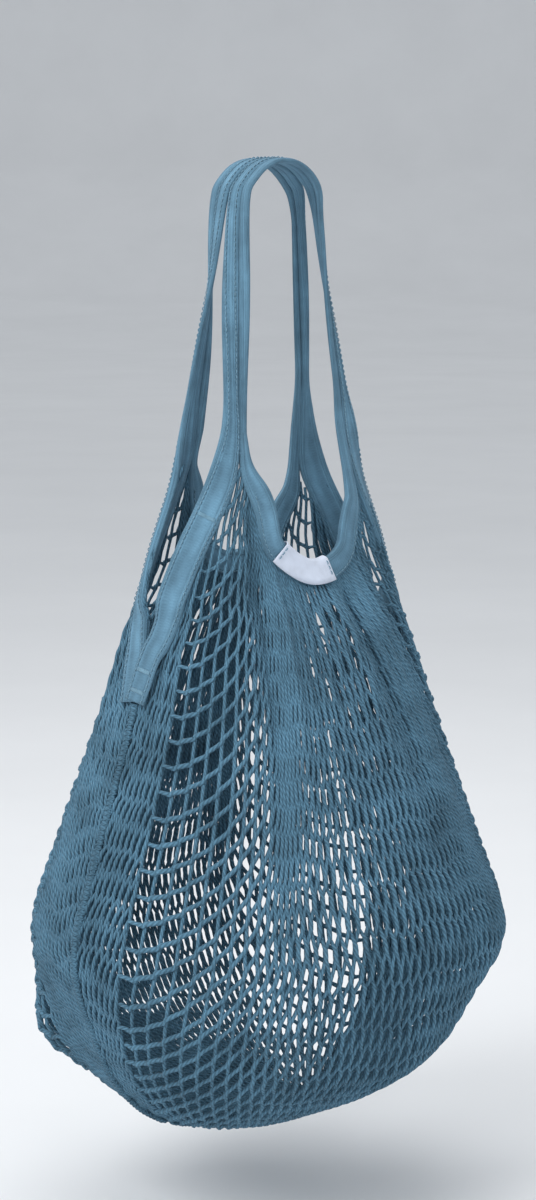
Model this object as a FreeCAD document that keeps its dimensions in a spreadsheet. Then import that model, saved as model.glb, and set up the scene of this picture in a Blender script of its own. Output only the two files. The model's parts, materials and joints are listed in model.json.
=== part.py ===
"""Mesh produce bag: a cotton net bag with woven tape handles, shown filled out and hanging.

Row frame, in millimetres: the origin is where the handles rest on whatever carries the bag,
+Z up, +X to the bag's right, and -Y towards its front panel, the one with the label.
A "drop" is a distance below the origin. An "angle" goes round the bag from +X towards +Y.
"""

import FreeCAD, Part
import math
import os

from FreeCAD import Vector

# Name, value in mm, what it is. Every size that can be set by itself is here.
SIZES = [
    ("handle_drop", 136, "hang point down to the line where the handles flex"),
    ("left_peak_step", 14, "flex line down to the top of the left net peaks"),
    ("right_peak_step", 32, "flex line down to the top of the right net peaks"),
    ("neck_step", 34, "flex line down to the neck"),
    ("rim_step", 36, "neck down to the lowest part of the mouth"),
    ("notch_step", 39, "mouth down to the bottom of the side notches"),
    ("shoulder_step", 51, "notch bottom down to the shoulder"),
    ("chest_step", 52, "shoulder down to the chest"),
    ("belly_step", 52, "chest down to the widest level"),
    ("hip_step", 42, "widest level down to the hip"),
    ("seat_step", 21, "hip down to the seat"),
    ("base_step", 21, "seat down to the base"),
    ("sole_step", 11, "base down to the sole"),
    ("foot_step", 7, "sole down to the foot"),
    ("toe_step", 4, "foot down to the underside"),
    ("flex_half_width", 44, "half width of the bag's form at the flex line"),
    ("flex_half_depth", 22, "half depth there"),
    ("neck_half_width", 62, "half width at the neck"),
    ("neck_half_depth", 30, "half depth at the neck"),
    ("rim_half_width", 80, "half width at the mouth"),
    ("rim_half_depth", 33, "half depth at the mouth"),
    ("notch_half_width", 92, "half width at the notch bottom"),
    ("notch_half_depth", 55, "half depth at the notch bottom"),
    ("shoulder_half_width", 104, "half width at the shoulder"),
    ("shoulder_half_depth", 80, "half depth at the shoulder"),
    ("chest_half_width", 117, "half width at the chest"),
    ("chest_half_depth", 101, "half depth at the chest"),
    ("belly_half_width", 132, "half width at the widest level"),
    ("belly_half_depth", 119, "half depth at the widest level"),
    ("hip_half_width", 119, "half width at the hip"),
    ("hip_half_depth", 105, "half depth at the hip"),
    ("seat_half_width", 106, "half width at the seat"),
    ("seat_half_depth", 94, "half depth at the seat"),
    ("base_half_width", 82, "half width at the base"),
    ("base_half_depth", 70, "half depth at the base"),
    ("sole_half_width", 58, "half width at the sole"),
    ("sole_half_depth", 47, "half depth at the sole"),
    ("foot_half_width", 40, "half width at the foot"),
    ("foot_half_depth", 31, "half depth at the foot"),
    ("toe_half_width", 20, "half width of the underside"),
    ("toe_half_depth", 14, "half depth of the underside"),
    ("toe_shift", 20, "how far the underside sits to the left of the middle"),
    ("side_tuck", 9, "how far the load on the side seams pulls them in at the notch"),
    ("net_wall", 2, "thickness that the net takes up"),
    ("notch_gap", 26, "width of each side notch at the flex line"),
    ("tape_width", 15, "width of the notch tapes"),
    ("handle_width", 12, "width of the curled handle tapes"),
    ("tape_thick", 1.2, "thickness of the woven tape"),
    ("lining_shift", 4, "how far the handle lining shows beside the handle tape"),
    ("stem_length", 27, "how far the notch tapes run on below the notch"),
    ("rim_width", 13, "width of the folded mouth binding"),
    ("rim_thick", 1, "thickness of one layer of the mouth binding"),
    ("dip_width", 38, "width of the dip at the middle of the mouth"),
    ("left_leg_out", 39, "left handle legs, from the middle plane, at the flex line"),
    ("right_leg_out", 41, "right handle legs, from the middle plane, at the flex line"),
    ("crown_width", 56, "distance between the legs just under the crown"),
    ("seam_width", 7, "width of the overlocked seams"),
    ("seam_thick", 1.2, "thickness of the overlocked seams"),
    ("bottom_seam_half", 74, "half length of the seam across the underside"),
    ("label_length", 42, "length of the folded label along the mouth"),
    ("label_thick", 0.5, "thickness of the label ribbon"),
    ("thread_width", 0.8, "width of a line of stitching"),
    ("thread_thick", 0.4, "height of a line of stitching"),
    ("stitch_inset", 1.8, "from a tape's edge to its line of stitching"),
    ("tack_length", 7, "length of a bar tack"),
    ("soft_gap", 0.4, "clearance between soft pieces that lie on each other"),
    ("sewn_gap", 0.25, "clearance between a tape and the thread or tape sewn to it"),
    ("flex_gap", 0.9, "clearance at the flex line of the handles"),
]

BODY_LEVELS = ["neck", "rim", "notch", "shoulder", "chest", "belly", "hip", "seat",
               "base", "sole", "foot", "toe"]
SECTION_POINTS = 28  # points of one horizontal section of the net
SECTION_SPACING = 12.0  # greatest distance between two sections, mm
CLOSE_SPACING = 5.0  # and below the hip, where the form turns under
LEFT, RIGHT = -1, 1
FRONT, BACK = -1, 1

doc = FreeCAD.newDocument("mesh_produce_bag")
sheet = doc.addObject("Spreadsheet::Sheet", "Sizes")
for row, (name, value, meaning) in enumerate(SIZES, start=1):
    sheet.set(f"A{row}", name)
    sheet.set(f"B{row}", str(value))
    sheet.set(f"C{row}", meaning)
    sheet.setAlias(f"B{row}", name)
doc.recompute()


def size(name):
    """A driving dimension, read from the sheet."""
    return float(sheet.get(name))


# ---------------------------------------------------------------- the bag's form

def rising_curve(places, values):
    """A smooth function through the points that overshoots none of them."""
    steps = [b - a for a, b in zip(places, places[1:])]
    slopes = [(b - a) / s for a, b, s in zip(values, values[1:], steps)]
    ends = [slopes[0]]
    for before, after in zip(slopes, slopes[1:]):
        flat = before * after <= 0
        ends.append(0.0 if flat else 2 * before * after / (before + after))
    ends.append(slopes[-1])

    def value(at):
        at = min(max(at, places[0]), places[-1])
        k = max(i for i in range(len(steps)) if places[i] <= at or i == 0)
        t = (at - places[k]) / steps[k]
        return ((1 + 2 * t) * (1 - t) ** 2 * values[k]
                + t * (1 - t) ** 2 * steps[k] * ends[k]
                + t * t * (3 - 2 * t) * values[k + 1]
                + t * t * (t - 1) * steps[k] * ends[k + 1])

    return value


FLEX_DROP = size("handle_drop")
LEVEL_DROPS = [FLEX_DROP]
for level in BODY_LEVELS:
    LEVEL_DROPS.append(LEVEL_DROPS[-1] + size(f"{level}_step"))
DROP = dict(zip(["flex"] + BODY_LEVELS, LEVEL_DROPS))
HALF_WIDTH = rising_curve(LEVEL_DROPS, [size(f"{n}_half_width") for n in DROP])
HALF_DEPTH = rising_curve(LEVEL_DROPS, [size(f"{n}_half_depth") for n in DROP])
SHIFT = rising_curve(
    [DROP["hip"], DROP["seat"], DROP["base"], DROP["sole"], DROP["toe"]],
    [share * -size("toe_shift") for share in (0, 0.15, 0.45, 0.8, 1)])
TUCK = rising_curve(
    [DROP["flex"], DROP["neck"], DROP["notch"], DROP["chest"]],
    [0, 0, size("side_tuck"), 0])
LEFT_PEAK_DROP = FLEX_DROP + size("left_peak_step")
RIGHT_PEAK_DROP = FLEX_DROP + size("right_peak_step")


def form_point(drop, angle, out=0.0):
    """The point of the bag's outer form at a drop and an angle in degrees."""
    turn = math.radians(angle)
    tuck = TUCK(drop) * abs(math.cos(turn)) ** 12
    across = (HALF_WIDTH(drop) - tuck + out) * math.cos(turn)
    return Vector(SHIFT(drop) + across, (HALF_DEPTH(drop) + out) * math.sin(turn), -drop)


def form_normal(drop, angle):
    """The outward normal of the form."""
    round_it = form_point(drop, angle + 0.5) - form_point(drop, angle - 0.5)
    down_it = form_point(drop + 0.5, angle) - form_point(drop - 0.5, angle)
    return down_it.cross(round_it).normalize()


def angle_after(drop, angle, arc):
    """The angle that lies an arc length further round the form at this drop."""
    steps = 8
    for _ in range(steps):
        speed = (form_point(drop, angle + 0.5) - form_point(drop, angle - 0.5)).Length
        angle += arc / steps / speed
    return angle


def angle_at_x(drop, across, face):
    """The angle of the form's front or back at a place across the bag."""
    low, high = (180.0, 360.0) if face == FRONT else (180.0, 0.0)
    for _ in range(40):
        middle = (low + high) / 2
        if form_point(drop, middle).x < across:
            low = middle
        else:
            high = middle
    return low


# ---------------------------------------------------------------- strips of cloth

class Station:
    """One place along a strip: its middle, its outward normal and its width direction."""

    def __init__(self, middle, outward, sideways):
        self.middle, self.outward, self.sideways = middle, outward, sideways

    def at(self, side, out):
        return self.middle + self.sideways * side + self.outward * out


def stations_along(points, normals):
    """Stations square to a path, with the normals turned square to it."""
    found = []
    for i, (point, normal) in enumerate(zip(points, normals)):
        ahead = (points[min(i + 1, len(points) - 1)] - points[max(i - 1, 0)]).normalize()
        sideways = normal.cross(ahead).normalize()
        found.append(Station(point, ahead.cross(sideways).normalize(), sideways))
    return found


def solid_through(rings):
    """A solid skinned corner to corner through rings of as many corners each."""
    faces = [Part.Face(Part.makePolygon(ring + [ring[0]])) for ring in (rings[0], rings[-1])]
    for near, far in zip(rings, rings[1:]):
        for k in range(len(near)):
            sides = [Part.LineSegment(ring[k - 1], ring[k]).toShape() for ring in (near, far)]
            faces.append(Part.makeRuledSurface(*sides))
    shell = Part.makeShell(faces)
    shell.sewShape()
    solid = Part.Solid(shell)
    if solid.Volume < 0:
        solid.reverse()
    return solid


def strip(stations, outline):
    """A solid with the same outline, (side, out) points, at every station.

    The outline is one list, or a function of the station's number that gives the list."""
    rings = []
    for i, station in enumerate(stations):
        places = outline(i) if callable(outline) else outline
        rings.append([station.at(side, out) for side, out in places])
    return solid_through(rings)


def flat(width, thick, side=0.0, out=0.0):
    """The outline of a flat strip whose underside is at out."""
    half = width / 2
    return [(side - half, out), (side + half, out),
            (side + half, out + thick), (side - half, out + thick)]


def spread(first, last, count):
    """Evenly spaced numbers, both ends included."""
    return [first + (last - first) * i / (count - 1) for i in range(count)]


def smooth_line(points, count):
    """Points evenly spaced along a smooth curve through the given ones."""
    curve = Part.BSplineCurve()
    curve.interpolate(points)
    return curve.discretize(Number=count)


SOLIDS = []


def keep(name, shape):
    """Adds a sub-part of the bag to the document."""
    made = doc.addObject("Part::Feature", name)
    made.Label = name
    made.Shape = shape
    SOLIDS.append(made)
    return made


def keep_object(made, name):
    """Registers a document object as a sub-part."""
    made.Label = name
    SOLIDS.append(made)
    return made


# ---------------------------------------------------------------- the two net panels

def net_ring(drop, inset):
    """One level section of the net, drawn in by an inset measured square to the surface."""
    rise = sum(form_normal(drop, angle).z for angle in (0, 90, 180, 270)) / 4
    lift, out = Vector(0, 0, -inset * rise), -inset * math.sqrt(1 - rise ** 2)
    ring = [form_point(drop, 360 * i / SECTION_POINTS, out) + lift for i in range(SECTION_POINTS)]
    curve = Part.BSplineCurve()
    curve.interpolate(ring, PeriodicFlag=True)
    return Part.Wire([curve.toShape()])


def net_form(name, inset):
    """A closed solid of the bag's form, drawn in by an inset."""
    rungs = [FLEX_DROP]
    for drop in LEVEL_DROPS[1:]:
        spacing = SECTION_SPACING if drop <= DROP["hip"] else CLOSE_SPACING
        count = max(2, math.ceil((drop - rungs[-1]) / spacing) + 1)
        rungs += spread(rungs[-1], drop, count)[1:]
    made = doc.addObject("Part::Feature", name)
    made.Shape = Part.makeLoft([net_ring(drop, inset) for drop in rungs], True, False)
    return made


def notch_half(drop):
    """Half the width of the side notch at a drop."""
    share = (DROP["notch"] - drop) / (DROP["notch"] - LEFT_PEAK_DROP)
    return size("notch_gap") / 2 * max(0.0, min(share, 1.0)) ** 0.75


def dip_edge(count):
    """The mouth's edge as (across, drop) places, from the left peak to the right one."""
    half, low = size("dip_width") / 2, DROP["rim"]
    rise_left, rise_right = low - LEFT_PEAK_DROP, low - RIGHT_PEAK_DROP
    places = [(-half - 13, LEFT_PEAK_DROP), (-half - 3, low - 0.68 * rise_left),
              (-half, low - 0.33 * rise_left), (-half + 9, low - 0.05 * rise_left),
              (0, low), (half - 3, low - 0.06 * rise_right),
              (half + 8, low - 0.5 * rise_right), (half + 17, low - rise_right)]
    line = smooth_line([Vector(x, 0, -d) for x, d in places], count)
    return [(p.x, -p.z) for p in line]


def make_nets():
    """The front and back panels: the form's wall, less the mouth and the two notches."""
    wall = doc.addObject("Part::Cut", "net_wall")
    wall.Base = net_form("net_outside", 0.0)
    wall.Tool = net_form("net_inside", size("net_wall"))

    wide, top = 2 * HALF_WIDTH(DROP["belly"]), -FLEX_DROP / 2
    edge = [Vector(x, -wide, -d) for x, d in dip_edge(13)]
    curve = Part.BSplineCurve()
    curve.interpolate(edge)
    left, right = edge[0], edge[-1]
    corners = [right, Vector(wide, -wide, right.z), Vector(wide, -wide, top),
               Vector(-wide, -wide, top), Vector(-wide, -wide, left.z), left]
    outline = Part.Wire([curve.toShape()]
                        + [Part.LineSegment(a, b).toShape() for a, b in zip(corners, corners[1:])])
    mouth = doc.addObject("Part::Feature", "mouth_tool")
    mouth.Shape = Part.Face(outline).extrude(Vector(0, 2 * wide, 0))

    drops = spread(DROP["notch"], LEFT_PEAK_DROP, 7)
    side = [Vector(-wide, notch_half(d), -d) for d in drops]
    other = [Vector(p.x, -p.y, p.z) for p in side]
    curves = []
    for points in (side, other):
        line = Part.BSplineCurve()
        line.interpolate(points)
        curves.append(line.toShape())
    corners = [side[-1], Vector(-wide, side[-1].y, top), Vector(-wide, other[-1].y, top), other[-1]]
    outline = Part.Wire(Part.__sortEdges__(
        curves + [Part.LineSegment(a, b).toShape() for a, b in zip(corners, corners[1:])]))
    notches = doc.addObject("Part::Feature", "notch_tool")
    notches.Shape = Part.Face(outline).extrude(Vector(2 * wide, 0, 0))

    open_top = doc.addObject("Part::Cut", "open_top")
    open_top.Base, open_top.Tool = wall, mouth
    cut = doc.addObject("Part::Cut", "open_sides")
    cut.Base, cut.Tool = open_top, notches
    for face, name in ((FRONT, "front_net"), (BACK, "back_net")):
        half = doc.addObject("Part::Box", f"{name}_side")
        half.setExpression("Length", "4 * Sizes.belly_half_width")
        half.setExpression("Width", "2 * Sizes.belly_half_depth")
        half.Height = DROP["toe"] + 20
        half.Placement.Base = Vector(-2 * size("belly_half_width"),
                                     -2 * size("belly_half_depth") if face == FRONT else 0,
                                     -DROP["toe"] - 10)
        panel = doc.addObject("Part::Common", name)
        panel.Base, panel.Tool = cut, half
        keep_object(panel, name)


# ---------------------------------------------------------------- tapes on the bag

def leg_place(side, face):
    """Where a handle leg's tape crosses the flex line."""
    out = size("left_leg_out") if side == LEFT else size("right_leg_out")
    return Vector(side * out, face * leg_depth(), -FLEX_DROP)


def leg_depth():
    """Distance of the flex lines in front of and behind the middle plane."""
    return size("notch_gap") / 2 + 3 * size("tape_thick") + size("soft_gap")


def notch_stations(side, face):
    """Stations of a notch tape's middle, from the foot of its stem to the flex line."""
    foot = DROP["notch"] + size("stem_length")
    start = 180 if side == LEFT else (0 if face == BACK else 360)
    turn = side * face  # which way round the form leads away from the notch
    half = size("tape_width") / 2
    points, normals = [], []
    for drop in spread(foot, FLEX_DROP + 26, 15):
        depth = max(HALF_DEPTH(drop), 1.0)
        edge = math.degrees(math.asin(min(0.9, notch_half(drop) / depth)))
        below = max(0.0, (drop - DROP["notch"]) / size("stem_length"))
        reach = half * (1 - 0.62 * below)
        angle = angle_after(drop, start + turn * edge, turn * reach)
        points.append(form_point(drop, angle))
        normals.append(form_normal(drop, angle))
    top = leg_place(side, face)
    lowest_top = top - Vector(0, 0, end_gap())
    straight = Vector(0, face, 0)
    lean = Vector(side * 2.6, face * 0.3, 0)
    points += [lowest_top + Vector(0, 0, -11) + lean * 1.4, lowest_top + Vector(0, 0, -4) + lean * 0.4,
               lowest_top]
    normals += [(normals[-1] + straight * 2).normalize(), straight, straight]
    line = stations_along(points, normals)
    end = line[-1]
    end.sideways = Vector(-side * face, 0, 0) * (1 if end.sideways.x * -side * face > 0 else -1)
    end.outward = straight
    return line


def end_gap():
    """How far below the flex line a notch tape's rounded end is centred."""
    return size("tape_thick") + size("flex_gap")


def notch_rise(i, count, face):
    """How far a notch tape stands off the form at a station.

    The front tapes lie over the back ones in the stem, and both lie over the mouth
    binding near the peaks."""
    gap = 1.6 * size("soft_gap")
    low = gap + (size("tape_thick") + gap if face == FRONT else 0)
    high = size("rim_thick") + 2 * gap
    share = i / (count - 1)
    if share < 0.3:
        return low
    if share < 0.45:
        return low + (gap - low) * (share - 0.3) / 0.15
    if share < 0.62:
        return gap
    if share < 0.8:
        return gap + (high - gap) * (share - 0.62) / 0.18
    return high


def make_notch_tapes():
    """Four woven tapes that bind the side notches, with their stitching."""
    wide, narrow, thick = size("tape_width"), size("handle_width"), size("tape_thick")
    for side, side_name in ((LEFT, "left"), (RIGHT, "right")):
        threads = []
        for face, face_name in ((FRONT, "front"), (BACK, "back")):
            line = notch_stations(side, face)
            count = len(line)

            def width_at(i, count=count):
                return wide + (narrow - wide) * max(0.0, i / (count - 1) - 0.5) / 0.5

            def rise_at(i, count=count, face=face):
                last = 3  # the top stations come onto the flex line's own plane
                to_end = min(1.0, (count - 1 - i) / last)
                return notch_rise(i, count, face) * to_end - thick / 2 * (1 - to_end)

            tape = strip(line, lambda i: flat(width_at(i), thick, 0, rise_at(i)))
            tape = rounded_end(tape, line[-1].middle, narrow, thick, 1)
            keep(f"{face_name}_{side_name}_notch_tape", tape)
            for edge in (-1, 1):
                def thread(i, edge=edge):
                    side_place = edge * (width_at(i) / 2 - size("stitch_inset"))
                    return flat(size("thread_width"), size("thread_thick"), side_place,
                                rise_at(i) + thick + size("sewn_gap"))

                start = 0 if face == FRONT else 4
                part = line[start:-2]
                threads.append(strip(part, lambda i, s=start, t=thread: t(i + s)))
        keep(f"{side_name}_notch_stitching", Part.makeCompound(threads))


def rounded_end(tape, middle, width, thick, up):
    """The tape with a half-round end, so that it stays clear while its neighbour flexes."""
    half = thick / 2
    corner = middle - Vector(width / 2, 0, 0)
    near, far = corner - Vector(0, half, 0), corner + Vector(0, half, 0)
    arc = Part.Arc(near, corner + Vector(0, 0, up * half), far).toShape()
    base = Part.LineSegment(far, near).toShape()
    bead = Part.Face(Part.Wire([arc, base])).extrude(Vector(width, 0, 0))
    return tape.fuse(bead)


def on_panel(across, drop, face, out):
    """A point off the form's front or back, given its place across the bag and its drop."""
    angle = angle_at_x(drop, across, face)
    return form_point(drop, angle) + form_normal(drop, angle) * out


def band(path, face, outline):
    """A solid that lies along a (across, drop) path and bends with the form.

    The outline is (inset, out) points, inset being measured from the path into the cloth;
    outline(share) gives it for a share of the way along."""
    rings = []
    for i, (across, drop) in enumerate(path):
        before, after = path[max(i - 1, 0)], path[min(i + 1, len(path) - 1)]
        run = Vector(after[0] - before[0], after[1] - before[1], 0).normalize()
        base = on_panel(across, drop, face, 0)
        ahead = (on_panel(*after, face, 0) - on_panel(*before, face, 0)).normalize()
        corners = [on_panel(across - run.y * inset, drop + run.x * inset, face, out)
                   for inset, out in outline(i / (len(path) - 1))]
        rings.append([c - ahead * (c - base).dot(ahead) for c in corners])
    return solid_through(rings)


def layer(first, last, low, high, pieces=4):
    """The outline of a layer that lies on the form from one inset to another."""
    insets = spread(first, last, pieces + 1)
    return [(w, low) for w in insets] + [(w, high) for w in reversed(insets)]


def wrapped(wide, thick, edge, out, inner, pieces=4):
    """The outline of a layer folded over the cloth's edge, open towards the cloth."""
    insets = spread(0.0, wide, pieces + 1)
    lower = [(w, inner - thick) for w in insets[1:]]
    upper = [(w, inner) for w in reversed(insets[1:])]
    outer_low = [(w, out) for w in insets[1:]]
    outer_high = [(w, out + thick) for w in reversed(insets[1:])]
    return ([(edge - thick, inner - thick)] + lower + upper + [(edge, inner), (edge, out)]
            + outer_low + outer_high + [(edge - thick, out + thick)])


def make_rim_bindings():
    """The tape folded over each panel's mouth edge, its stitching and the label."""
    gap, sewn, thick = size("soft_gap"), size("sewn_gap"), size("rim_thick")
    inner = -size("net_wall") - gap
    path = dip_edge(29)
    middle = min(range(len(path)), key=lambda i: abs(path[i][0]))
    half = size("label_length") / 2 + 1.0
    under_label = [i for i in range(len(path)) if run_length(path, middle, i) <= half]

    def wide(share):
        from_end = min(share, 1 - share)
        return size("rim_width") * (0.6 + 0.4 * min(1.0, from_end / 0.3))

    def seam(share, low, thread):
        place = wide(share) - size("stitch_inset")
        return layer(place - thread, place, low, low + size("thread_thick"), 1)

    for face, name in ((FRONT, "front"), (BACK, "back")):
        keep(f"{name}_rim_tape",
             band(path, face, lambda share: wrapped(wide(share), thick, -gap, gap, inner)))
        runs = [path[2:-2]]
        if face == FRONT:
            runs = [path[2:under_label[0]], path[under_label[-1] + 1:-2]]
        low = gap + thick + sewn
        threads = []
        for run in runs:
            first = path.index(run[0]) / (len(path) - 1)
            reach = (len(run) - 1) / (len(path) - 1)
            threads.append(band(run, face, lambda share, f=first, r=reach:
                                seam(f + share * r, low, size("thread_width"))))
        keep(f"{name}_rim_stitching", Part.makeCompound(threads))
    make_label([path[i] for i in under_label[1:-1]], inner - thick, gap + thick)


def run_length(path, first, last):
    """The distance along a path between two of its places."""
    low, high = sorted((first, last))
    run = [Vector(x, d, 0) for x, d in path[low:high + 1]]
    return sum((b - a).Length for a, b in zip(run, run[1:]))


def make_label(path, inner, out):
    """A plain ribbon label folded over the front binding, sewn down at its two ends."""
    gap, ribbon, sewn = size("soft_gap") / 2, size("label_thick"), size("sewn_gap")
    edge = -size("soft_gap") - size("rim_thick") - gap
    wide = size("rim_width") - 0.6
    keep("label", band(path, FRONT,
                       lambda share: wrapped(wide, ribbon, edge, out + gap, inner - gap)))
    low = out + gap + ribbon + sewn
    bars = []
    for near, far, shares in ((path[0], path[1], (0.3, 0.55)), (path[-2], path[-1], (0.45, 0.7))):
        ends = [(near[0] + (far[0] - near[0]) * share, near[1] + (far[1] - near[1]) * share)
                for share in shares]
        bars.append(band(ends, FRONT,
                         lambda share: layer(0.4, wide - 0.8, low, low + size("thread_thick"))))
    keep("label_stitching", Part.makeCompound(bars))


# ---------------------------------------------------------------- handles

def handle_stations(face):
    """Stations of a handle tape's middle, from the left flex line over the crown to the right."""
    thick, gap = size("tape_thick"), size("sewn_gap")
    left, right = leg_place(LEFT, face), leg_place(RIGHT, face)
    crown_depth = face * (size("handle_width") / 2 + size("soft_gap"))
    lining = thick * 1.5 + gap  # from the tape's middle to the lining's underside
    radius = size("crown_width") / 2
    legs_drop = FLEX_DROP - radius

    def place(across, drop):
        down = max(0.0, drop - radius) / legs_drop
        return Vector(across, crown_depth + (left.y - crown_depth) * down ** 1.3, lining - drop)

    def leg(foot):
        top = math.copysign(radius, foot.x)
        return [place(top + (foot.x - top) * share, radius + legs_drop * share)
                for share in (0.3, 0.65)]

    arc = [place(-radius * math.cos(math.radians(turn)), radius * (1 - math.sin(math.radians(turn))))
           for turn in (15, 40, 65, 90, 115, 140, 165)]
    straight = Vector(0, 0, 6)
    shape = [left, left + straight] + leg(left)[::-1] + arc + leg(right) + [right + straight, right]
    points = smooth_line(shape, 43)
    normals = []
    for i, point in enumerate(points):
        share = i / (len(points) - 1)
        over = math.sin(math.pi * share) ** 1.6
        ahead = (points[min(i + 1, len(points) - 1)] - points[max(i - 1, 0)]).normalize()
        normals.append(Vector(0, face, 0) * (1 - over) + ahead.cross(Vector(0, 1, 0)) * over)
    line = stations_along(points, normals)
    for station in (line[0], line[-1]):
        flip = 1 if station.sideways.x > 0 else -1
        station.sideways, station.outward = Vector(flip, 0, 0), Vector(0, face, 0)
    return line


def make_handle(face, name):
    """A handle: its outer tape, the lining sewn behind it and two lines of stitching."""
    line = handle_stations(face)
    wide, thick, gap = size("handle_width"), size("tape_thick"), size("sewn_gap")
    outer = strip(line, flat(wide, thick, 0, -thick / 2))
    for station in (line[0], line[-1]):
        outer = rounded_end(outer, station.middle, wide, thick, -1)
    keep(f"{name}_handle_tape", outer)
    towards_mouth = 1 if line[0].sideways.x > 0 else -1
    shift = towards_mouth * size("lining_shift")
    inner = flat(wide, thick, shift, -thick * 1.5 - gap)
    keep(f"{name}_handle_lining", strip(line[1:-1], inner))
    threads = []
    for edge in (-1, 1):
        place = edge * (wide / 2 - size("stitch_inset"))
        outline = flat(size("thread_width"), size("thread_thick"), place, thick / 2 + gap)
        threads.append(strip(line[1:-1], outline))
    keep(f"{name}_handle_stitching", Part.makeCompound(threads))


# ---------------------------------------------------------------- seams and tacks

def make_seams():
    """The overlocked seams that join the two panels at the sides and across the underside."""
    wide, thick, gap = size("seam_width"), size("seam_thick"), size("soft_gap")
    clear = 1.5 * gap
    half = size("bottom_seam_half")
    top = DROP["notch"] + size("stem_length") + 1.0
    for side, name in ((LEFT, "left"), (RIGHT, "right")):
        angle = 180 if side == LEFT else 0
        drops = spread(top, DROP["toe"], 60)
        inside = [d for d in drops if side * form_point(d, angle).x > half + 1.0]
        points = [form_point(d, angle) for d in spread(inside[0], inside[-1], 31)]
        normals = [form_normal(-p.z, angle) for p in points]
        line = stations_along(points, normals)
        keep(f"{name}_side_seam", strip(line, flat(wide, thick, 0, clear)))
    halves = []
    for angle in (180, 0):
        drops = [d for d in spread(DROP["hip"], DROP["toe"], 90)
                 if abs(form_point(d, angle).x) < half]
        halves.append([form_point(d, angle) for d in drops[::4]] + [form_point(DROP["toe"], angle)])
    points = halves[0] + halves[1][::-1]
    normals = []
    for i in range(len(points)):
        ahead = (points[min(i + 1, len(points) - 1)] - points[max(i - 1, 0)]).normalize()
        normals.append(ahead.cross(Vector(0, 1, 0)))
    normals = [n if n.z < 0 else n * -1 for n in normals]
    keep("bottom_seam", strip(stations_along(points, normals), flat(wide, thick, 0, clear)))


def tack(line, i, face):
    """A bar tack across a notch tape, at one of its stations."""
    here = line[i]
    ahead = (line[i + 1].middle - here.middle).normalize()
    height = notch_rise(i, len(line), face) + size("tape_thick") + size("sewn_gap")
    half = size("thread_width")
    pair = [Station(here.middle + ahead * k * half, here.outward, here.sideways) for k in (-1, 1)]
    return strip(pair, flat(size("tack_length"), size("thread_thick"), 0, height))


def make_tacks():
    """Bar tacks that lock the tapes at the foot of each notch and at the four peaks."""
    lines = {(side, face): notch_stations(side, face)
             for side in (LEFT, RIGHT) for face in (FRONT, BACK)}
    for side, name in ((LEFT, "left"), (RIGHT, "right")):
        line = lines[side, FRONT]
        keep(f"{name}_notch_tack",
             Part.makeCompound([tack(line, i, FRONT) for i in (1, 3)]))
    for face, name in ((FRONT, "front"), (BACK, "back")):
        bars = [tack(lines[side, face], len(lines[side, face]) - 4, face) for side in (LEFT, RIGHT)]
        keep(f"{name}_peak_tacks", Part.makeCompound(bars))


make_nets()
make_notch_tapes()
make_rim_bindings()
for face, name in ((FRONT, "front"), (BACK, "back")):
    make_handle(face, name)
make_seams()
make_tacks()
doc.recompute()

for made in doc.Objects:
    if "Invalid" in made.State or "Error" in made.State:
        raise RuntimeError(f"{made.Label} failed to build")
os.makedirs("parts", exist_ok=True)
for made in SOLIDS:
    if made.Shape.isNull() or not made.Shape.isValid() or made.Shape.Volume <= 0:
        raise RuntimeError(f"{made.Label} isn't a good solid")
    made.Shape.exportStep(f"parts/{made.Label}.step")
    print(made.Label, len(made.Shape.Solids), round(made.Shape.Volume, 1))
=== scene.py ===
"""Mesh produce bag: knotless cotton netting, woven tapes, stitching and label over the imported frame.

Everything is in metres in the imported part's own frame: the origin is where the handles hang,
+Z up, +X to the bag's right and -Y towards the front panel, the one with the label.
"""
import json
import math

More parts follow.
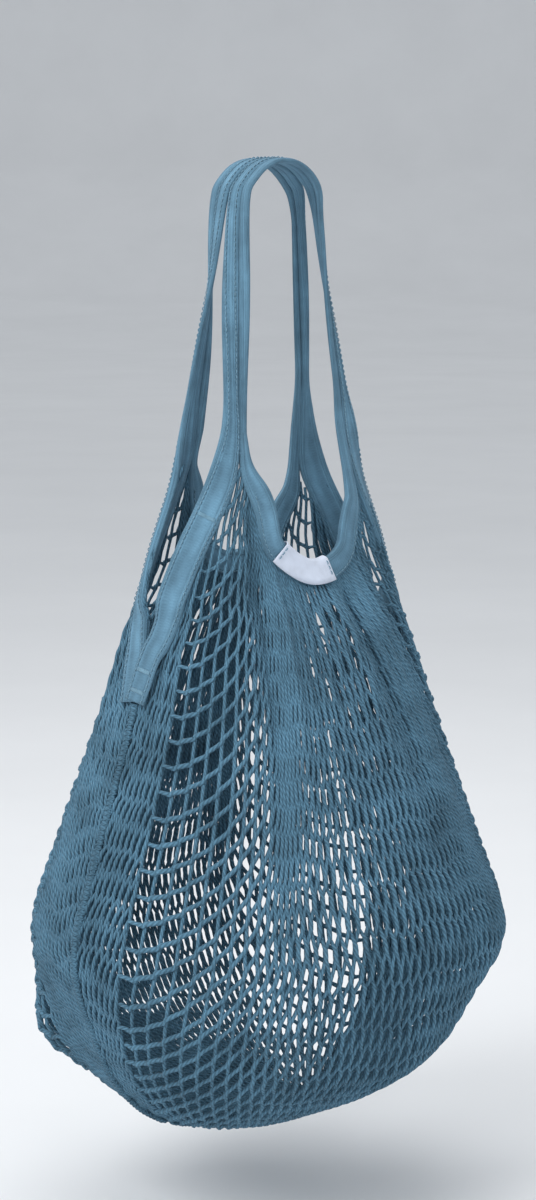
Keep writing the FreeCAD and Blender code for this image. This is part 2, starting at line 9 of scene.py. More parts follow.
import bpy
import numpy as np
from bpy.props import FloatProperty, FloatVectorProperty, IntProperty, PointerProperty
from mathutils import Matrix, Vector


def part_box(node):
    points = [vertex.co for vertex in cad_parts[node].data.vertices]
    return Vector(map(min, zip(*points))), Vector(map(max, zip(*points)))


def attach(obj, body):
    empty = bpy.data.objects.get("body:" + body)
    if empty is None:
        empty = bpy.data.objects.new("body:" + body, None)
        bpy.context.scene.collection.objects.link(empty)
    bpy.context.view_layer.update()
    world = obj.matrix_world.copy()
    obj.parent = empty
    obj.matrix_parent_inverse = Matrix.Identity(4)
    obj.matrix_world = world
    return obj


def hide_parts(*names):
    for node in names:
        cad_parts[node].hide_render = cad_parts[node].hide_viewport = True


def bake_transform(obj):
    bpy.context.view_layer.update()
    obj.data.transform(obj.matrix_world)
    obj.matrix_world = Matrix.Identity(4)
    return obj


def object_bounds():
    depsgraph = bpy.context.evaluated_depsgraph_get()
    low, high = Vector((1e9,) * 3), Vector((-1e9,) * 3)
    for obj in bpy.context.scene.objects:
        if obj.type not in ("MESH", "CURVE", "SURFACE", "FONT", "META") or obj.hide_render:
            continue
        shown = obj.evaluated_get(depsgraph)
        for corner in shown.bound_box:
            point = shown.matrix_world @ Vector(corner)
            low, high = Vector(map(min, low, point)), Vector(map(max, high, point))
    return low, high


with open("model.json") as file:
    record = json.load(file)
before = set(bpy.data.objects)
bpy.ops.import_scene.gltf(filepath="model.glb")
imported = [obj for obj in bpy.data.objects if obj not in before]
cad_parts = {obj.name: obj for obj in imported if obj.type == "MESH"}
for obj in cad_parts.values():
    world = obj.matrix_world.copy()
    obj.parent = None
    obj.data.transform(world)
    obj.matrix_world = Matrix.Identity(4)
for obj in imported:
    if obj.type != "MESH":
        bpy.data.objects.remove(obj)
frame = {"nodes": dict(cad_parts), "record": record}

bl_info = {
    "name": "Mesh Produce Bag",
    "version": (1, 0, 0),
    "blender": (4, 5, 0),
    "location": "3D View > Sidebar > Net Bag",
    "description": "Builds a filled and hanging net bag with woven tape handles over its packed frame",
    "category": "Object",
}

MM = 0.001
CAD_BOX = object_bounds()
FRONT, BACK = -1, 1
LEFT, RIGHT = -1, 1
FACE_NAMES = {FRONT: "front", BACK: "back"}
SIDE_NAMES = {LEFT: "left", RIGHT: "right"}


# ---------------------------------------------------------------- small helpers

def smoothstep(low, high, value):
    """0 below low, 1 above high, and a smooth rise between them."""
    t = np.clip((value - low) / (high - low), 0.0, 1.0)
    return t * t * (3 - 2 * t)


def unit(vectors):
    """Vectors scaled to length one, along the last axis."""
    vectors = np.asarray(vectors, float)
    return vectors / np.maximum(np.linalg.norm(vectors, axis=-1, keepdims=True), 1e-12)


def lengths_along(points):
    """Distance from the first point to each point of a path."""
    return np.concatenate([[0], np.cumsum(np.linalg.norm(np.diff(points, axis=0), axis=1))])


def sampled(values, run, at):
    """A path's rows of values, given at the distances in run, read at other distances."""
    return np.stack([np.interp(at, run, values[:, k]) for k in range(values.shape[1])], axis=1)


def smooth_path(points, count, closed=False):
    """Evenly spaced points along a smooth curve through the given ones."""
    points = np.asarray(points, float)
    if closed:
        padded = np.vstack([points[-1:], points, points[:2]])
    else:
        before, after = 2 * points[0] - points[1], 2 * points[-1] - points[-2]
        padded = np.vstack([before, points, after])
    fine = []
    shares = np.linspace(0, 1, 24, endpoint=False)[:, None]
    for p0, p1, p2, p3 in zip(padded, padded[1:], padded[2:], padded[3:]):
        fine.append(0.5 * (2 * p1 + (p2 - p0) * shares + (2 * p0 - 5 * p1 + 4 * p2 - p3) * shares ** 2
                           + (3 * p1 - p0 - 3 * p2 + p3) * shares ** 3))
    fine = np.vstack(fine + [padded[-2:-1]])
    run = lengths_along(fine)
    return sampled(fine, run, np.linspace(0, run[-1], count, endpoint=not closed))


def path_frames(points, normals, closed=False):
    """Unit tangent, sideways and outward vectors at each point of a path."""
    if closed:
        ahead = unit(np.roll(points, -1, axis=0) - np.roll(points, 1, axis=0))
    else:
        ahead = unit(np.gradient(points, axis=0))
    sideways = unit(np.cross(normals, ahead))
    return ahead, sideways, unit(np.cross(ahead, sideways))


def new_piece(name, vertices, faces, uvs, material, body=None, smooth=True):
    """A mesh object with a UV value for each face corner, riding on a body if one is named."""
    mesh = bpy.data.meshes.new(name)
    mesh.from_pydata(np.asarray(vertices).tolist(), [], [list(f) for f in faces])
    layer = mesh.uv_layers.new(name="cloth")
    layer.data.foreach_set("uv", np.asarray(uvs, np.float32).ravel())
    mesh.materials.append(material)
    mesh.polygons.foreach_set("use_smooth", [smooth] * len(mesh.polygons))
    mesh.update()
    piece = bpy.data.objects.new(name, mesh)
    bpy.context.scene.collection.objects.link(piece)
    if body:
        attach(piece, body)
    return piece


class Skins:
    """Gathers tubes and ribbons, each a stack of rings, into the arrays of one mesh."""

    def __init__(self):
        self.vertices, self.faces, self.uvs = [], [], []
        self.count = 0

    def add(self, rings, closed=False):
        """Skins rings of shape (n, k, 3); open ends get caps."""
        n, k = rings.shape[:2]
        first = self.count
        run = lengths_along(rings.mean(axis=1)) / MM
        around = np.linspace(0, 1, k + 1)
        last = n if closed else n - 1
        loop = np.append(run, run[-1] + (run[1] - run[0]))
        i, j = np.meshgrid(np.arange(last), np.arange(k), indexing="ij")
        ahead, beside = (i + 1) % n, (j + 1) % k
        quads = np.stack([i * k + j, i * k + beside, ahead * k + beside, ahead * k + j], axis=-1)
        u = np.stack([loop[i], loop[i], loop[i + 1], loop[i + 1]], axis=-1)
        v = np.stack([around[j], around[j + 1], around[j + 1], around[j]], axis=-1)
        self.faces += (quads.reshape(-1, 4) + first).tolist()
        self.uvs.append(np.stack([u, v], axis=-1).reshape(-1, 2))
        if not closed:
            self.faces.append([first + j for j in range(k)][::-1])
            self.faces.append([first + (n - 1) * k + j for j in range(k)])
            for at in (run[0], run[-1]):
                self.uvs.append(np.column_stack([np.full(k, at), around[:k]]))
        self.vertices.append(rings.reshape(-1, 3))
        self.count += n * k

    def piece(self, name, material, body=None):
        """The gathered skins as one piece."""
        return new_piece(name, np.vstack(self.vertices), self.faces, np.vstack(self.uvs),
                         material, body)


def ribbon_rings(points, sideways, outward, width, thick, shift=0.0, lift=0.0, corner=0.4, around=16):
    """Rings of a soft-edged ribbon; width, thick, shift, lift and corner may change along it.

    corner is the power of the outline: near 0 is a sharp rectangle and 1 an ellipse."""
    n = len(points)
    width, thick, shift, lift, corner = (np.broadcast_to(v, n)[:, None]
                                         for v in (width, thick, shift, lift, corner))
    turn = np.linspace(0, 2 * math.pi, around, endpoint=False) + math.pi / around
    across = np.sign(np.cos(turn)) * np.abs(np.cos(turn)) ** corner * width / 2 + shift
    out = np.sign(np.sin(turn)) * np.abs(np.sin(turn)) ** corner * thick / 2 + lift
    return points[:, None] + across[..., None] * sideways[:, None] + out[..., None] * outward[:, None]


def tube_rings(points, normals, radius, sides=6):
    """Rings of a round strand or thread, with a radius for each point."""
    _, sideways, outward = path_frames(points, normals)
    turn = np.linspace(0, 2 * math.pi, sides, endpoint=False)[:, None]
    circle = np.cos(turn) * sideways[:, None] + np.sin(turn) * outward[:, None]
    return points[:, None] + circle * radius[:, None, None]


# ---------------------------------------------------------------- the bag's form, read from the frame

class BagForm:
    """The filled bag's level sections as ellipses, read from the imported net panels.

    NUDGE is the small angle, in radians, over which slopes round the form are taken."""

    LEVELS = 72
    ABOVE_FOOT, BELOW_PEAK = 1.5 * MM, 26 * MM
    NUDGE = 0.01

    def __init__(self):
        edges = []
        for name in ("front_net", "back_net"):
            mesh = frame["nodes"][name].data
            co = np.array([v.co for v in mesh.vertices], float).reshape(-1, 3)
            pairs = np.array([e.vertices for e in mesh.edges])
            edges.append(co[pairs])
        self.edges = np.vstack(edges)
        self.bottom = self.edges[..., 2].min()
        self.peak = self.edges[..., 2].max()
        self.heights = np.linspace(self.bottom + self.ABOVE_FOOT, self.peak - self.BELOW_PEAK,
                                   self.LEVELS)
        rows = [self.fit(z) for z in self.heights]
        self.middle, self.half_width, self.half_depth, self.tuck_in = np.array(rows).T
        self.belly = self.heights[np.argmax(self.half_width)]
        self.notch = self.find_notch()

    def section(self, z):
        """The points where the panels' edges cross a level."""
        a, b = self.edges[:, 0], self.edges[:, 1]
        crossing = (a[:, 2] - z) * (b[:, 2] - z) < 0
        a, b = a[crossing], b[crossing]
        share = (z - a[:, 2]) / (b[:, 2] - a[:, 2])
        return a + (b - a) * share[:, None]

    def fit(self, z):
        """Middle, half width, half depth and side tuck of the section at a level."""
        p = self.section(z)
        terms = np.column_stack([p[:, 0] ** 2, p[:, 1] ** 2, p[:, 0]])
        a, b, c = np.linalg.lstsq(terms, np.ones(len(p)), rcond=None)[0]
        scale = 1 + c * c / (4 * a)
        middle, width, depth = -c / (2 * a), math.sqrt(scale / a), math.sqrt(scale / b)
        side = p[(p[:, 0] < middle) & (abs(p[:, 1]) < 4 * MM)]
        tuck = side[:, 0].mean() - (middle - width) if len(side) else 0.0
        return middle, width, depth, max(0.0, tuck)

    def find_notch(self):
        """The level where the side notches end."""
        for z in np.arange(self.belly, self.peak, MM):
            p = self.section(z)
            if not (abs(p[:, 1]) < 0.5 * MM).any():
                return z
        return self.peak

    def at(self, z, turn):
        """Points of the form's middle layer at heights and angles, in radians from +X."""
        z, turn = np.broadcast_arrays(z, turn)
        low = np.clip(z, self.heights[0], None)
        middle, width, depth, tuck = (self.beyond(low, row) for row in (
            self.middle, self.half_width, self.half_depth, self.tuck_in))
        across = (width - tuck * np.abs(np.cos(turn)) ** 12) * np.cos(turn)
        return np.stack([middle + across, depth * np.sin(turn), z], axis=-1)

    def beyond(self, z, row):
        """A row's value, carried on in a straight line above its last level."""
        slope = (row[-1] - row[-6]) / (self.heights[-1] - self.heights[-6])
        over = np.maximum(0, z - self.heights[-1])
        return np.interp(z, self.heights, row) + over * slope

    def depth_at(self, z):
        """The half depth at a height."""
        return self.beyond(np.asarray(z, float), self.half_depth)

    def normal(self, z, turn):
        """Outward unit normals of the form."""
        up_it = self.at(z + MM, turn) - self.at(z - MM, turn)
        return unit(np.cross(self.nudged(z, turn), up_it))

    def nudged(self, z, turn):
        """The way from just before to just after a place, round the form."""
        return self.at(z, turn + self.NUDGE) - self.at(z, turn - self.NUDGE)

    def turn_at(self, z, across, face):
        """The angle at which the front or back lies at a place across the bag."""
        middle = self.beyond(np.asarray(z, float), self.middle)
        width = self.beyond(np.asarray(z, float), self.half_width)
        return face * np.arccos(np.clip((across - middle) / width, -0.999, 0.999))

    def along(self, z, turn, arc):
        """The angle an arc length further round the form, found in short steps."""
        steps = 8
        for _ in range(steps):
            speed = np.linalg.norm(self.nudged(z, turn), axis=-1) / (2 * self.NUDGE)
            turn = turn + arc / steps / speed
        return turn


form = BagForm()


class PanelEdges:
    """Where the panels' cloth ends: the notches' half width and the dip's two sides, by height.

    The strands stop STRANDS_SHORT of the mouth's edge, under its binding."""

    LEVELS = 160
    STRANDS_SHORT = 3.2 * MM

    def __init__(self):
        self.heights = np.linspace(form.belly, form.peak - 1.5 * MM, self.LEVELS)
        notch, left, right = [], [], []
        for z in self.heights:
            p = form.section(z)
            p = p[p[:, 1] < 0]
            gap = -p[p[:, 0] < 0][:, 1].max()
            notch.append(gap if z > form.notch else 0.0)
            middle = p[abs(p[:, 0]) < 6 * MM]
            split = len(middle) == 0
            far_right = p[p[:, 0] > 0][:, 0]
            left.append(p[p[:, 0] < 0][:, 0].max() if split else 0.0)
            right.append(far_right.min() if split and len(far_right) else 0.0)
        self.notch_half, self.dip_left, self.dip_right = map(np.array, (notch, left, right))
        split = self.dip_left < 0
        self.dip_low = self.heights[split][0]
        self.right_peak = self.heights[split & (self.dip_right > 0)][-1]
        self.left_peak = self.heights[-1]

    def notch_at(self, z):
        """The side notches' half width at a height, 0 below them."""
        return np.interp(z, self.heights, self.notch_half)

    def holds(self, points):
        """True where a point lies on cloth, and not in the mouth above the dip."""
        z, ends = points[..., 2], self.STRANDS_SHORT
        left = np.interp(z, self.heights, self.dip_left)
        right = np.where(z > self.right_peak, 1.0, np.interp(z, self.heights, self.dip_right))
        in_dip = (z > self.dip_low - ends) & (points[..., 0] > left - ends) \
            & (points[..., 0] < right + ends)
        return ~in_dip & (z < self.left_peak)

    def mouth_path(self, count):
        """Places (across, height) along the mouth's edge, from the left peak to the right one."""
        levels = self.heights[self.heights > self.dip_low]
        left = [(np.interp(z, self.heights, self.dip_left), z) for z in levels[::-1]]
        low = levels[levels < self.right_peak]
        right = [(np.interp(z, self.heights, self.dip_right), z) for z in low]
        lowest = (0.0, self.dip_low - 0.4 * MM)
        return smooth_path(left[::9] + [lowest] + right[2::9] + [right[-1]], count)


edges = PanelEdges()


def joint_place(name):
    """A joint's place in the frame."""
    joints = frame["record"]["behaviour"]["joints"]
    return np.array(next(j["pos_m"] for j in joints if j["name"] == name))


FLEX = joint_place("front_handle_flex")
FLEX_HEIGHT = FLEX[2]
FLEX_DEPTH = abs(FLEX[1])


# ---------------------------------------------------------------- settings

class NetSettings(bpy.types.PropertyGroup):
    """Sizes and colour of the netting."""

    taut_bar: FloatProperty(name="Taut bar", description="Side of a mesh where the net is pulled long",
                            default=0.0135, unit="LENGTH")
    slack_bar: FloatProperty(name="Slack bar", description="Side of a mesh where the net hangs open",
                             default=0.0110, unit="LENGTH")
    strand: FloatProperty(name="Strand", description="Thickness of a net strand",
                          default=0.0021, unit="LENGTH")
    join: FloatProperty(name="Join", description="Half length over which two strands run together",
                        default=0.0026, unit="LENGTH")
    slack_angle: FloatProperty(name="Slack angle", description="Rise of the strands by the side seams",
                               default=math.radians(7), subtype="ANGLE")
    taut_angle: FloatProperty(name="Taut angle", description="Rise of the strands under the mouth",
                              default=math.radians(78), subtype="ANGLE")
    seam_angle: FloatProperty(name="Seam angle", description="Rise of the strands drawn in at a seam",
                              default=math.radians(69), subtype="ANGLE")
    lean_angle: FloatProperty(name="Lean", description="Rise of the strands across the open meshes",
                              default=math.radians(92), subtype="ANGLE")
    sweep: IntProperty(name="Sweep", description="Meshes over which a strand turns from slack to taut",
                       default=11)
    colour: FloatVectorProperty(name="Colour", description="Dyed cotton of the netting",
                                default=(0.085, 0.185, 0.265), subtype="COLOR", size=3)


class TapeSettings(bpy.types.PropertyGroup):
    """Sizes and colour of the woven tapes."""

    notch_width: FloatProperty(name="Notch tape", description="Width of the tape round the notches",
                               default=0.015, unit="LENGTH")
    handle_width: FloatProperty(name="Handle tape", description="Width of the folded handle tape",
                                default=0.0088, unit="LENGTH")
    lining_width: FloatProperty(name="Handle edge", description="Width of the strip beside it",
                                default=0.0058, unit="LENGTH")
    rim_width: FloatProperty(name="Mouth tape", description="Width of the binding round the mouth",
                             default=0.0125, unit="LENGTH")
    thick: FloatProperty(name="Thickness", description="Thickness of one layer of tape",
                         default=0.0013, unit="LENGTH")
    binding: FloatProperty(name="Binding", description="Thickness of tape folded round a net edge",
                           default=0.0044, unit="LENGTH")
    crown_width: FloatProperty(name="Crown", description="Width of the handles' arch",
                               default=0.056, unit="LENGTH")
    colour: FloatVectorProperty(name="Colour", description="Dyed cotton of the tapes",
                                default=(0.125, 0.250, 0.350), subtype="COLOR", size=3)


class TrimSettings(bpy.types.PropertyGroup):
    """Sizes and colours of the stitching, the seams and the label."""

    stitch: FloatProperty(name="Stitch", description="Length of one stitch",
                          default=0.0021, unit="LENGTH")
    stitch_gap: FloatProperty(name="Stitch gap", description="Bare tape between two stitches",
                              default=0.0007, unit="LENGTH")
    thread: FloatProperty(name="Thread", description="Thickness of the sewing thread",
                          default=0.00055, unit="LENGTH")
    label_length: FloatProperty(name="Label", description="Length of the label along the mouth",
                                default=0.038, unit="LENGTH")
    seam_loops: IntProperty(name="Seam loops", description="Overlock loops along a side seam",
                            default=96)
    thread_colour: FloatVectorProperty(name="Thread colour", description="Sewing thread",
                                       default=(0.15, 0.28, 0.37), subtype="COLOR", size=3)
    label_colour: FloatVectorProperty(name="Label colour", description="Blank woven label",
                                      default=(0.66, 0.72, 0.84), subtype="COLOR", size=3)


class StageSettings(bpy.types.PropertyGroup):
    """Camera and light."""

    azimuth: FloatProperty(name="Azimuth", description="Camera's way round the bag from its front",
                           default=math.radians(-42), subtype="ANGLE")
    elevation: FloatProperty(name="Elevation", description="Camera's angle above the level",
                             default=math.radians(8), subtype="ANGLE")
    distance: FloatProperty(name="Distance", description="Camera to the bag's middle",
                            default=1.5, unit="LENGTH")
    view_height: FloatProperty(name="View height", description="Height that the picture takes in",
                               default=0.633, unit="LENGTH")
    key_power: FloatProperty(name="Key light", description="Power of the key light", default=20.0)


# ---------------------------------------------------------------- materials

class Nodes:
    """A cloth material's node tree, with short ways to add and join nodes."""

    def __init__(self, name):
        self.material = bpy.data.materials.new(name)
        self.material.use_nodes = True
        self.tree = self.material.node_tree
        self.shader = self.tree.nodes["Principled BSDF"]

    def add(self, kind, **values):
        node = self.tree.nodes.new(kind)
        for key, value in values.items():
            if key in node.inputs:
                node.inputs[key].default_value = value
            else:
                setattr(node, key, value)
        return node

    def join(self, output, target):
        self.tree.links.new(output, target)

    def math(self, operation, *values):
        """A Math node on sockets or numbers."""
        node = self.add("ShaderNodeMath", operation=operation)
        for socket, value in zip(node.inputs, values):
            if isinstance(value, (int, float)):
                socket.default_value = value
            else:
                self.join(value, socket)
        return node.outputs[0]

    def noise(self, scale, detail=3.0, rough=0.6):
        """Noise in the object's own space."""
        place = self.add("ShaderNodeTexCoord").outputs["Object"]
        node = self.add("ShaderNodeTexNoise", Scale=scale, Detail=detail, Roughness=rough)
        self.join(place, node.inputs["Vector"])
        return node.outputs["Fac"]

    def cloth_uv(self):
        """Millimetres along the piece, and the share of the way round it."""
        uv = self.add("ShaderNodeUVMap", uv_map="cloth")
        split = self.add("ShaderNodeSeparateXYZ")
        self.join(uv.outputs[0], split.inputs[0])
        return split.outputs["X"], split.outputs["Y"]

    def streaks(self, along, around, along_scale, around_scale):
        """Noise drawn out along a piece, from its millimetres along and share of the way round."""
        place = self.add("ShaderNodeCombineXYZ")
        self.join(self.math("MULTIPLY", along, along_scale), place.inputs[0])
        self.join(self.math("MULTIPLY", around, around_scale), place.inputs[1])
        node = self.add("ShaderNodeTexNoise", Scale=1.0, Detail=3.0, Roughness=0.6)
        self.join(place.outputs[0], node.inputs["Vector"])
        return node.outputs["Fac"]

    def ramp(self, factor, stops):
        """A colour ramp with (position, colour) stops."""
        node = self.add("ShaderNodeValToRGB")
        elements = node.color_ramp.elements
        while len(elements) < len(stops):
            elements.new(0.5)
        for element, (position, colour) in zip(elements, stops):
            element.position = position
            element.color = (*colour, 1.0)
        self.join(factor, node.inputs["Fac"])
        return node.outputs["Color"]

    def shade(self, colour, pattern, low, high):
        """The colour darkened where a 0 to 1 pattern is low and lightened where it is high."""
        gain = self.add("ShaderNodeMapRange", **{"To Min": low, "To Max": high})
        self.join(pattern, gain.inputs["Value"])
        scaled = self.add("ShaderNodeVectorMath", operation="SCALE")
        self.join(colour, scaled.inputs[0])
        self.join(gain.outputs[0], scaled.inputs["Scale"])
        return scaled.outputs[0]

    def bump(self, height, strength, distance):
        """Lets a pattern's height, over a distance in metres, tilt the surface."""
        node = self.add("ShaderNodeBump", Strength=strength, Distance=distance)
        self.join(height, node.inputs["Height"])
        self.join(node.outputs[0], self.shader.inputs["Normal"])

    def finish(self, colour, roughness, sheen):
        """Sets the shader's colour and its dull, slightly fuzzy surface."""
        self.join(colour, self.shader.inputs["Base Color"])
        self.shader.inputs["Roughness"].default_value = roughness
        self.shader.inputs["Sheen Weight"].default_value = sheen
        self.shader.inputs["Sheen Roughness"].default_value = 0.5
        self.shader.inputs["Specular IOR Level"].default_value = 0.15
        return self.material


def tints(colour, dark, light):
    """A darker, the same and a lighter colour."""
    colour = np.array(colour)
    return tuple(colour * dark), tuple(colour), tuple(np.minimum(colour * light, 1.0))


def twisted_cotton(name, colour, plies, pitch):
    """Cotton strand: plies that wind round it, uneven dye and a little lint, with painted shade in the
    grooves between the plies and a painted highlight on their crowns.
    """
    nodes = Nodes(name)
    along, around = nodes.cloth_uv()
    turns = nodes.math("DIVIDE", along, pitch)
    phase = nodes.math("ADD", turns, nodes.math("MULTIPLY", around, float(plies)))
    wave = nodes.math("SINE", nodes.math("MULTIPLY", phase, 2 * math.pi))
    ply = nodes.math("MULTIPLY_ADD", wave, 0.5, 0.5)
    dark, middle, light = tints(colour, 0.68, 1.34)
    mottled = nodes.ramp(nodes.noise(38.0), [(0.25, dark), (0.5, middle), (0.78, light)])
    lint = nodes.noise(2600.0, 2.0, 0.7)
    # The ply wave that raises the bump also darkens the colour in the grooves between the plies and
    # lightens it on their crowns: painted shade and painted highlight.
    shaded = nodes.shade(nodes.shade(mottled, ply, 0.72, 1.2), lint, 0.84, 1.16)
    height = nodes.math("ADD", ply, nodes.math("MULTIPLY", lint, 0.5))
    nodes.bump(height, 0.7, 0.0004)
    return nodes.finish(shaded, 0.92, 0.05)


def woven_tape(name, colour, rib, pick, ribs):
    """Woven tape: lengthwise ribs crossed by picks, with streaks and lighter worn places; the ribs, picks
    and streaks also darken and lighten the colour as painted shade and painted highlight.
    """
    nodes = Nodes(name)
    along, around = nodes.cloth_uv()
    warp = nodes.math("SINE", nodes.math("MULTIPLY", around, 2 * math.pi * ribs))
    weft = nodes.math("SINE", nodes.math("MULTIPLY", along, 2 * math.pi / pick))
    weave = nodes.math("ADD", nodes.math("MULTIPLY", nodes.math("MULTIPLY", warp, weft), 0.14),
                       nodes.math("MULTIPLY", warp, 0.3))
    weave = nodes.math("ADD", weave, 0.5)
    streaks = nodes.streaks(along, around, 0.035, rib)
    dark, middle, light = tints(colour, 0.80, 1.22)
    mottled = nodes.ramp(nodes.noise(55.0), [(0.3, dark), (0.52, middle), (0.75, light)])
    lint = nodes.noise(1500.0, 2.0, 0.7)
    # The weave that raises the bump also darkens the colour in its dips and lightens it on its ridges:
    # painted shade and painted highlight.
    shaded = nodes.shade(nodes.shade(mottled, weave, 0.80, 1.14), lint, 0.86, 1.14)
    # The streaks raise the bump too, and the colour follows them: painted shade along their hollows and
    # painted highlight along their ridges.
    shaded = nodes.shade(shaded, streaks, 0.58, 1.42)
    height = nodes.math("ADD", weave, nodes.math("MULTIPLY", lint, 0.35))
    height = nodes.math("ADD", height, nodes.math("MULTIPLY", streaks, 1.6))
    nodes.bump(height, 0.8, 0.0005)
    return nodes.finish(shaded, 0.9, 0.05)


def sewing_thread(name, colour):
    """Mercerised thread: smooth, with a soft gloss."""
    nodes = Nodes(name)
    along, around = nodes.cloth_uv()
    phase = nodes.math("ADD", nodes.math("DIVIDE", along, 0.7), around)
    wave = nodes.math("SINE", nodes.math("MULTIPLY", phase, 2 * math.pi))
    dark, middle, light = tints(colour, 0.8, 1.25)
    mottled = nodes.ramp(nodes.noise(300.0), [(0.3, dark), (0.5, middle), (0.7, light)])
    nodes.bump(wave, 0.4, 0.0001)
    return nodes.finish(mottled, 0.6, 0.2)


def label_ribbon(name, colour):
    """Blank woven label: fine satin ribs, slightly creased, with painted shade in the creases and between
    the ribs.
    """
    nodes = Nodes(name)
    along, _ = nodes.cloth_uv()
    ribs = nodes.math("SINE", nodes.math("MULTIPLY", along, 2 * math.pi / 0.45))
    crease = nodes.noise(120.0, 2.0)
    weave = nodes.math("ADD", nodes.math("MULTIPLY", ribs, 0.3), crease)
    dark, middle, light = tints(colour, 0.9, 1.06)
    # The colour ramp follows the crease noise that also drives the bump: painted shade in the creases and
    # painted highlight on their ridges.
    mottled = nodes.ramp(crease, [(0.3, dark), (0.5, middle), (0.7, light)])
    nodes.bump(weave, 0.35, 0.0003)
    # The satin ribs darken and lighten the colour a little as well: painted shade between the ribs and
    # painted highlight on them.
    return nodes.finish(nodes.shade(mottled, ribs, 0.97, 1.02), 0.55, 0.2)


def shared(maker, name, *values):
    """The material of that name, made the first time it is asked for."""
    return bpy.data.materials.get(name) or maker(name, *values)


def net_cotton():
    return shared(twisted_cotton, "knotless_cotton", bpy.context.scene.bag_net.colour, 3, 3.2)


def tape_cotton():
    return shared(woven_tape, "woven_cotton_tape", bpy.context.scene.bag_tape.colour, 17.0, 1.5, 22.0)


def seam_cotton():
    colour = tuple(0.9 * v for v in bpy.context.scene.bag_net.colour)
    return shared(twisted_cotton, "overlock_cotton", colour, 2, 2.4)


def thread_cotton():
    return shared(sewing_thread, "mercerised_thread", bpy.context.scene.bag_trim.thread_colour)


def label_cloth():
    return shared(label_ribbon, "blank_label_satin", bpy.context.scene.bag_trim.label_colour)


# ---------------------------------------------------------------- the netting

# Pleats below the mouth: place across the front panel, from -1 to 1, and millimetres proud.
# The back panel has them mirrored and a tenth nearer its middle.
FOLDS = ((-0.40, -6.0), (-0.30, 3.2), (0.10, 3.4), (0.21, -5.2), (0.38, 2.2), (-0.62, 2.0),
         (0.58, -3.2), (0.78, 1.8), (-0.08, -2.0))

# Lumps of the filled bag: way round it in degrees from +X, height in metres, and radius and rise
# in millimetres.
SWELLS = ((205, -0.430, 32, 6.5), (148, -0.447, 23, 13.0), (241, -0.443, 28, 5.5), (304, -0.402, 28, 4.5),
          (318, -0.438, 26, -4.0), (275, -0.452, 26, 4.5), (112, -0.425, 34, 5.5), (70, -0.440, 30, 5.0),
          (28, -0.420, 32, 5.5))


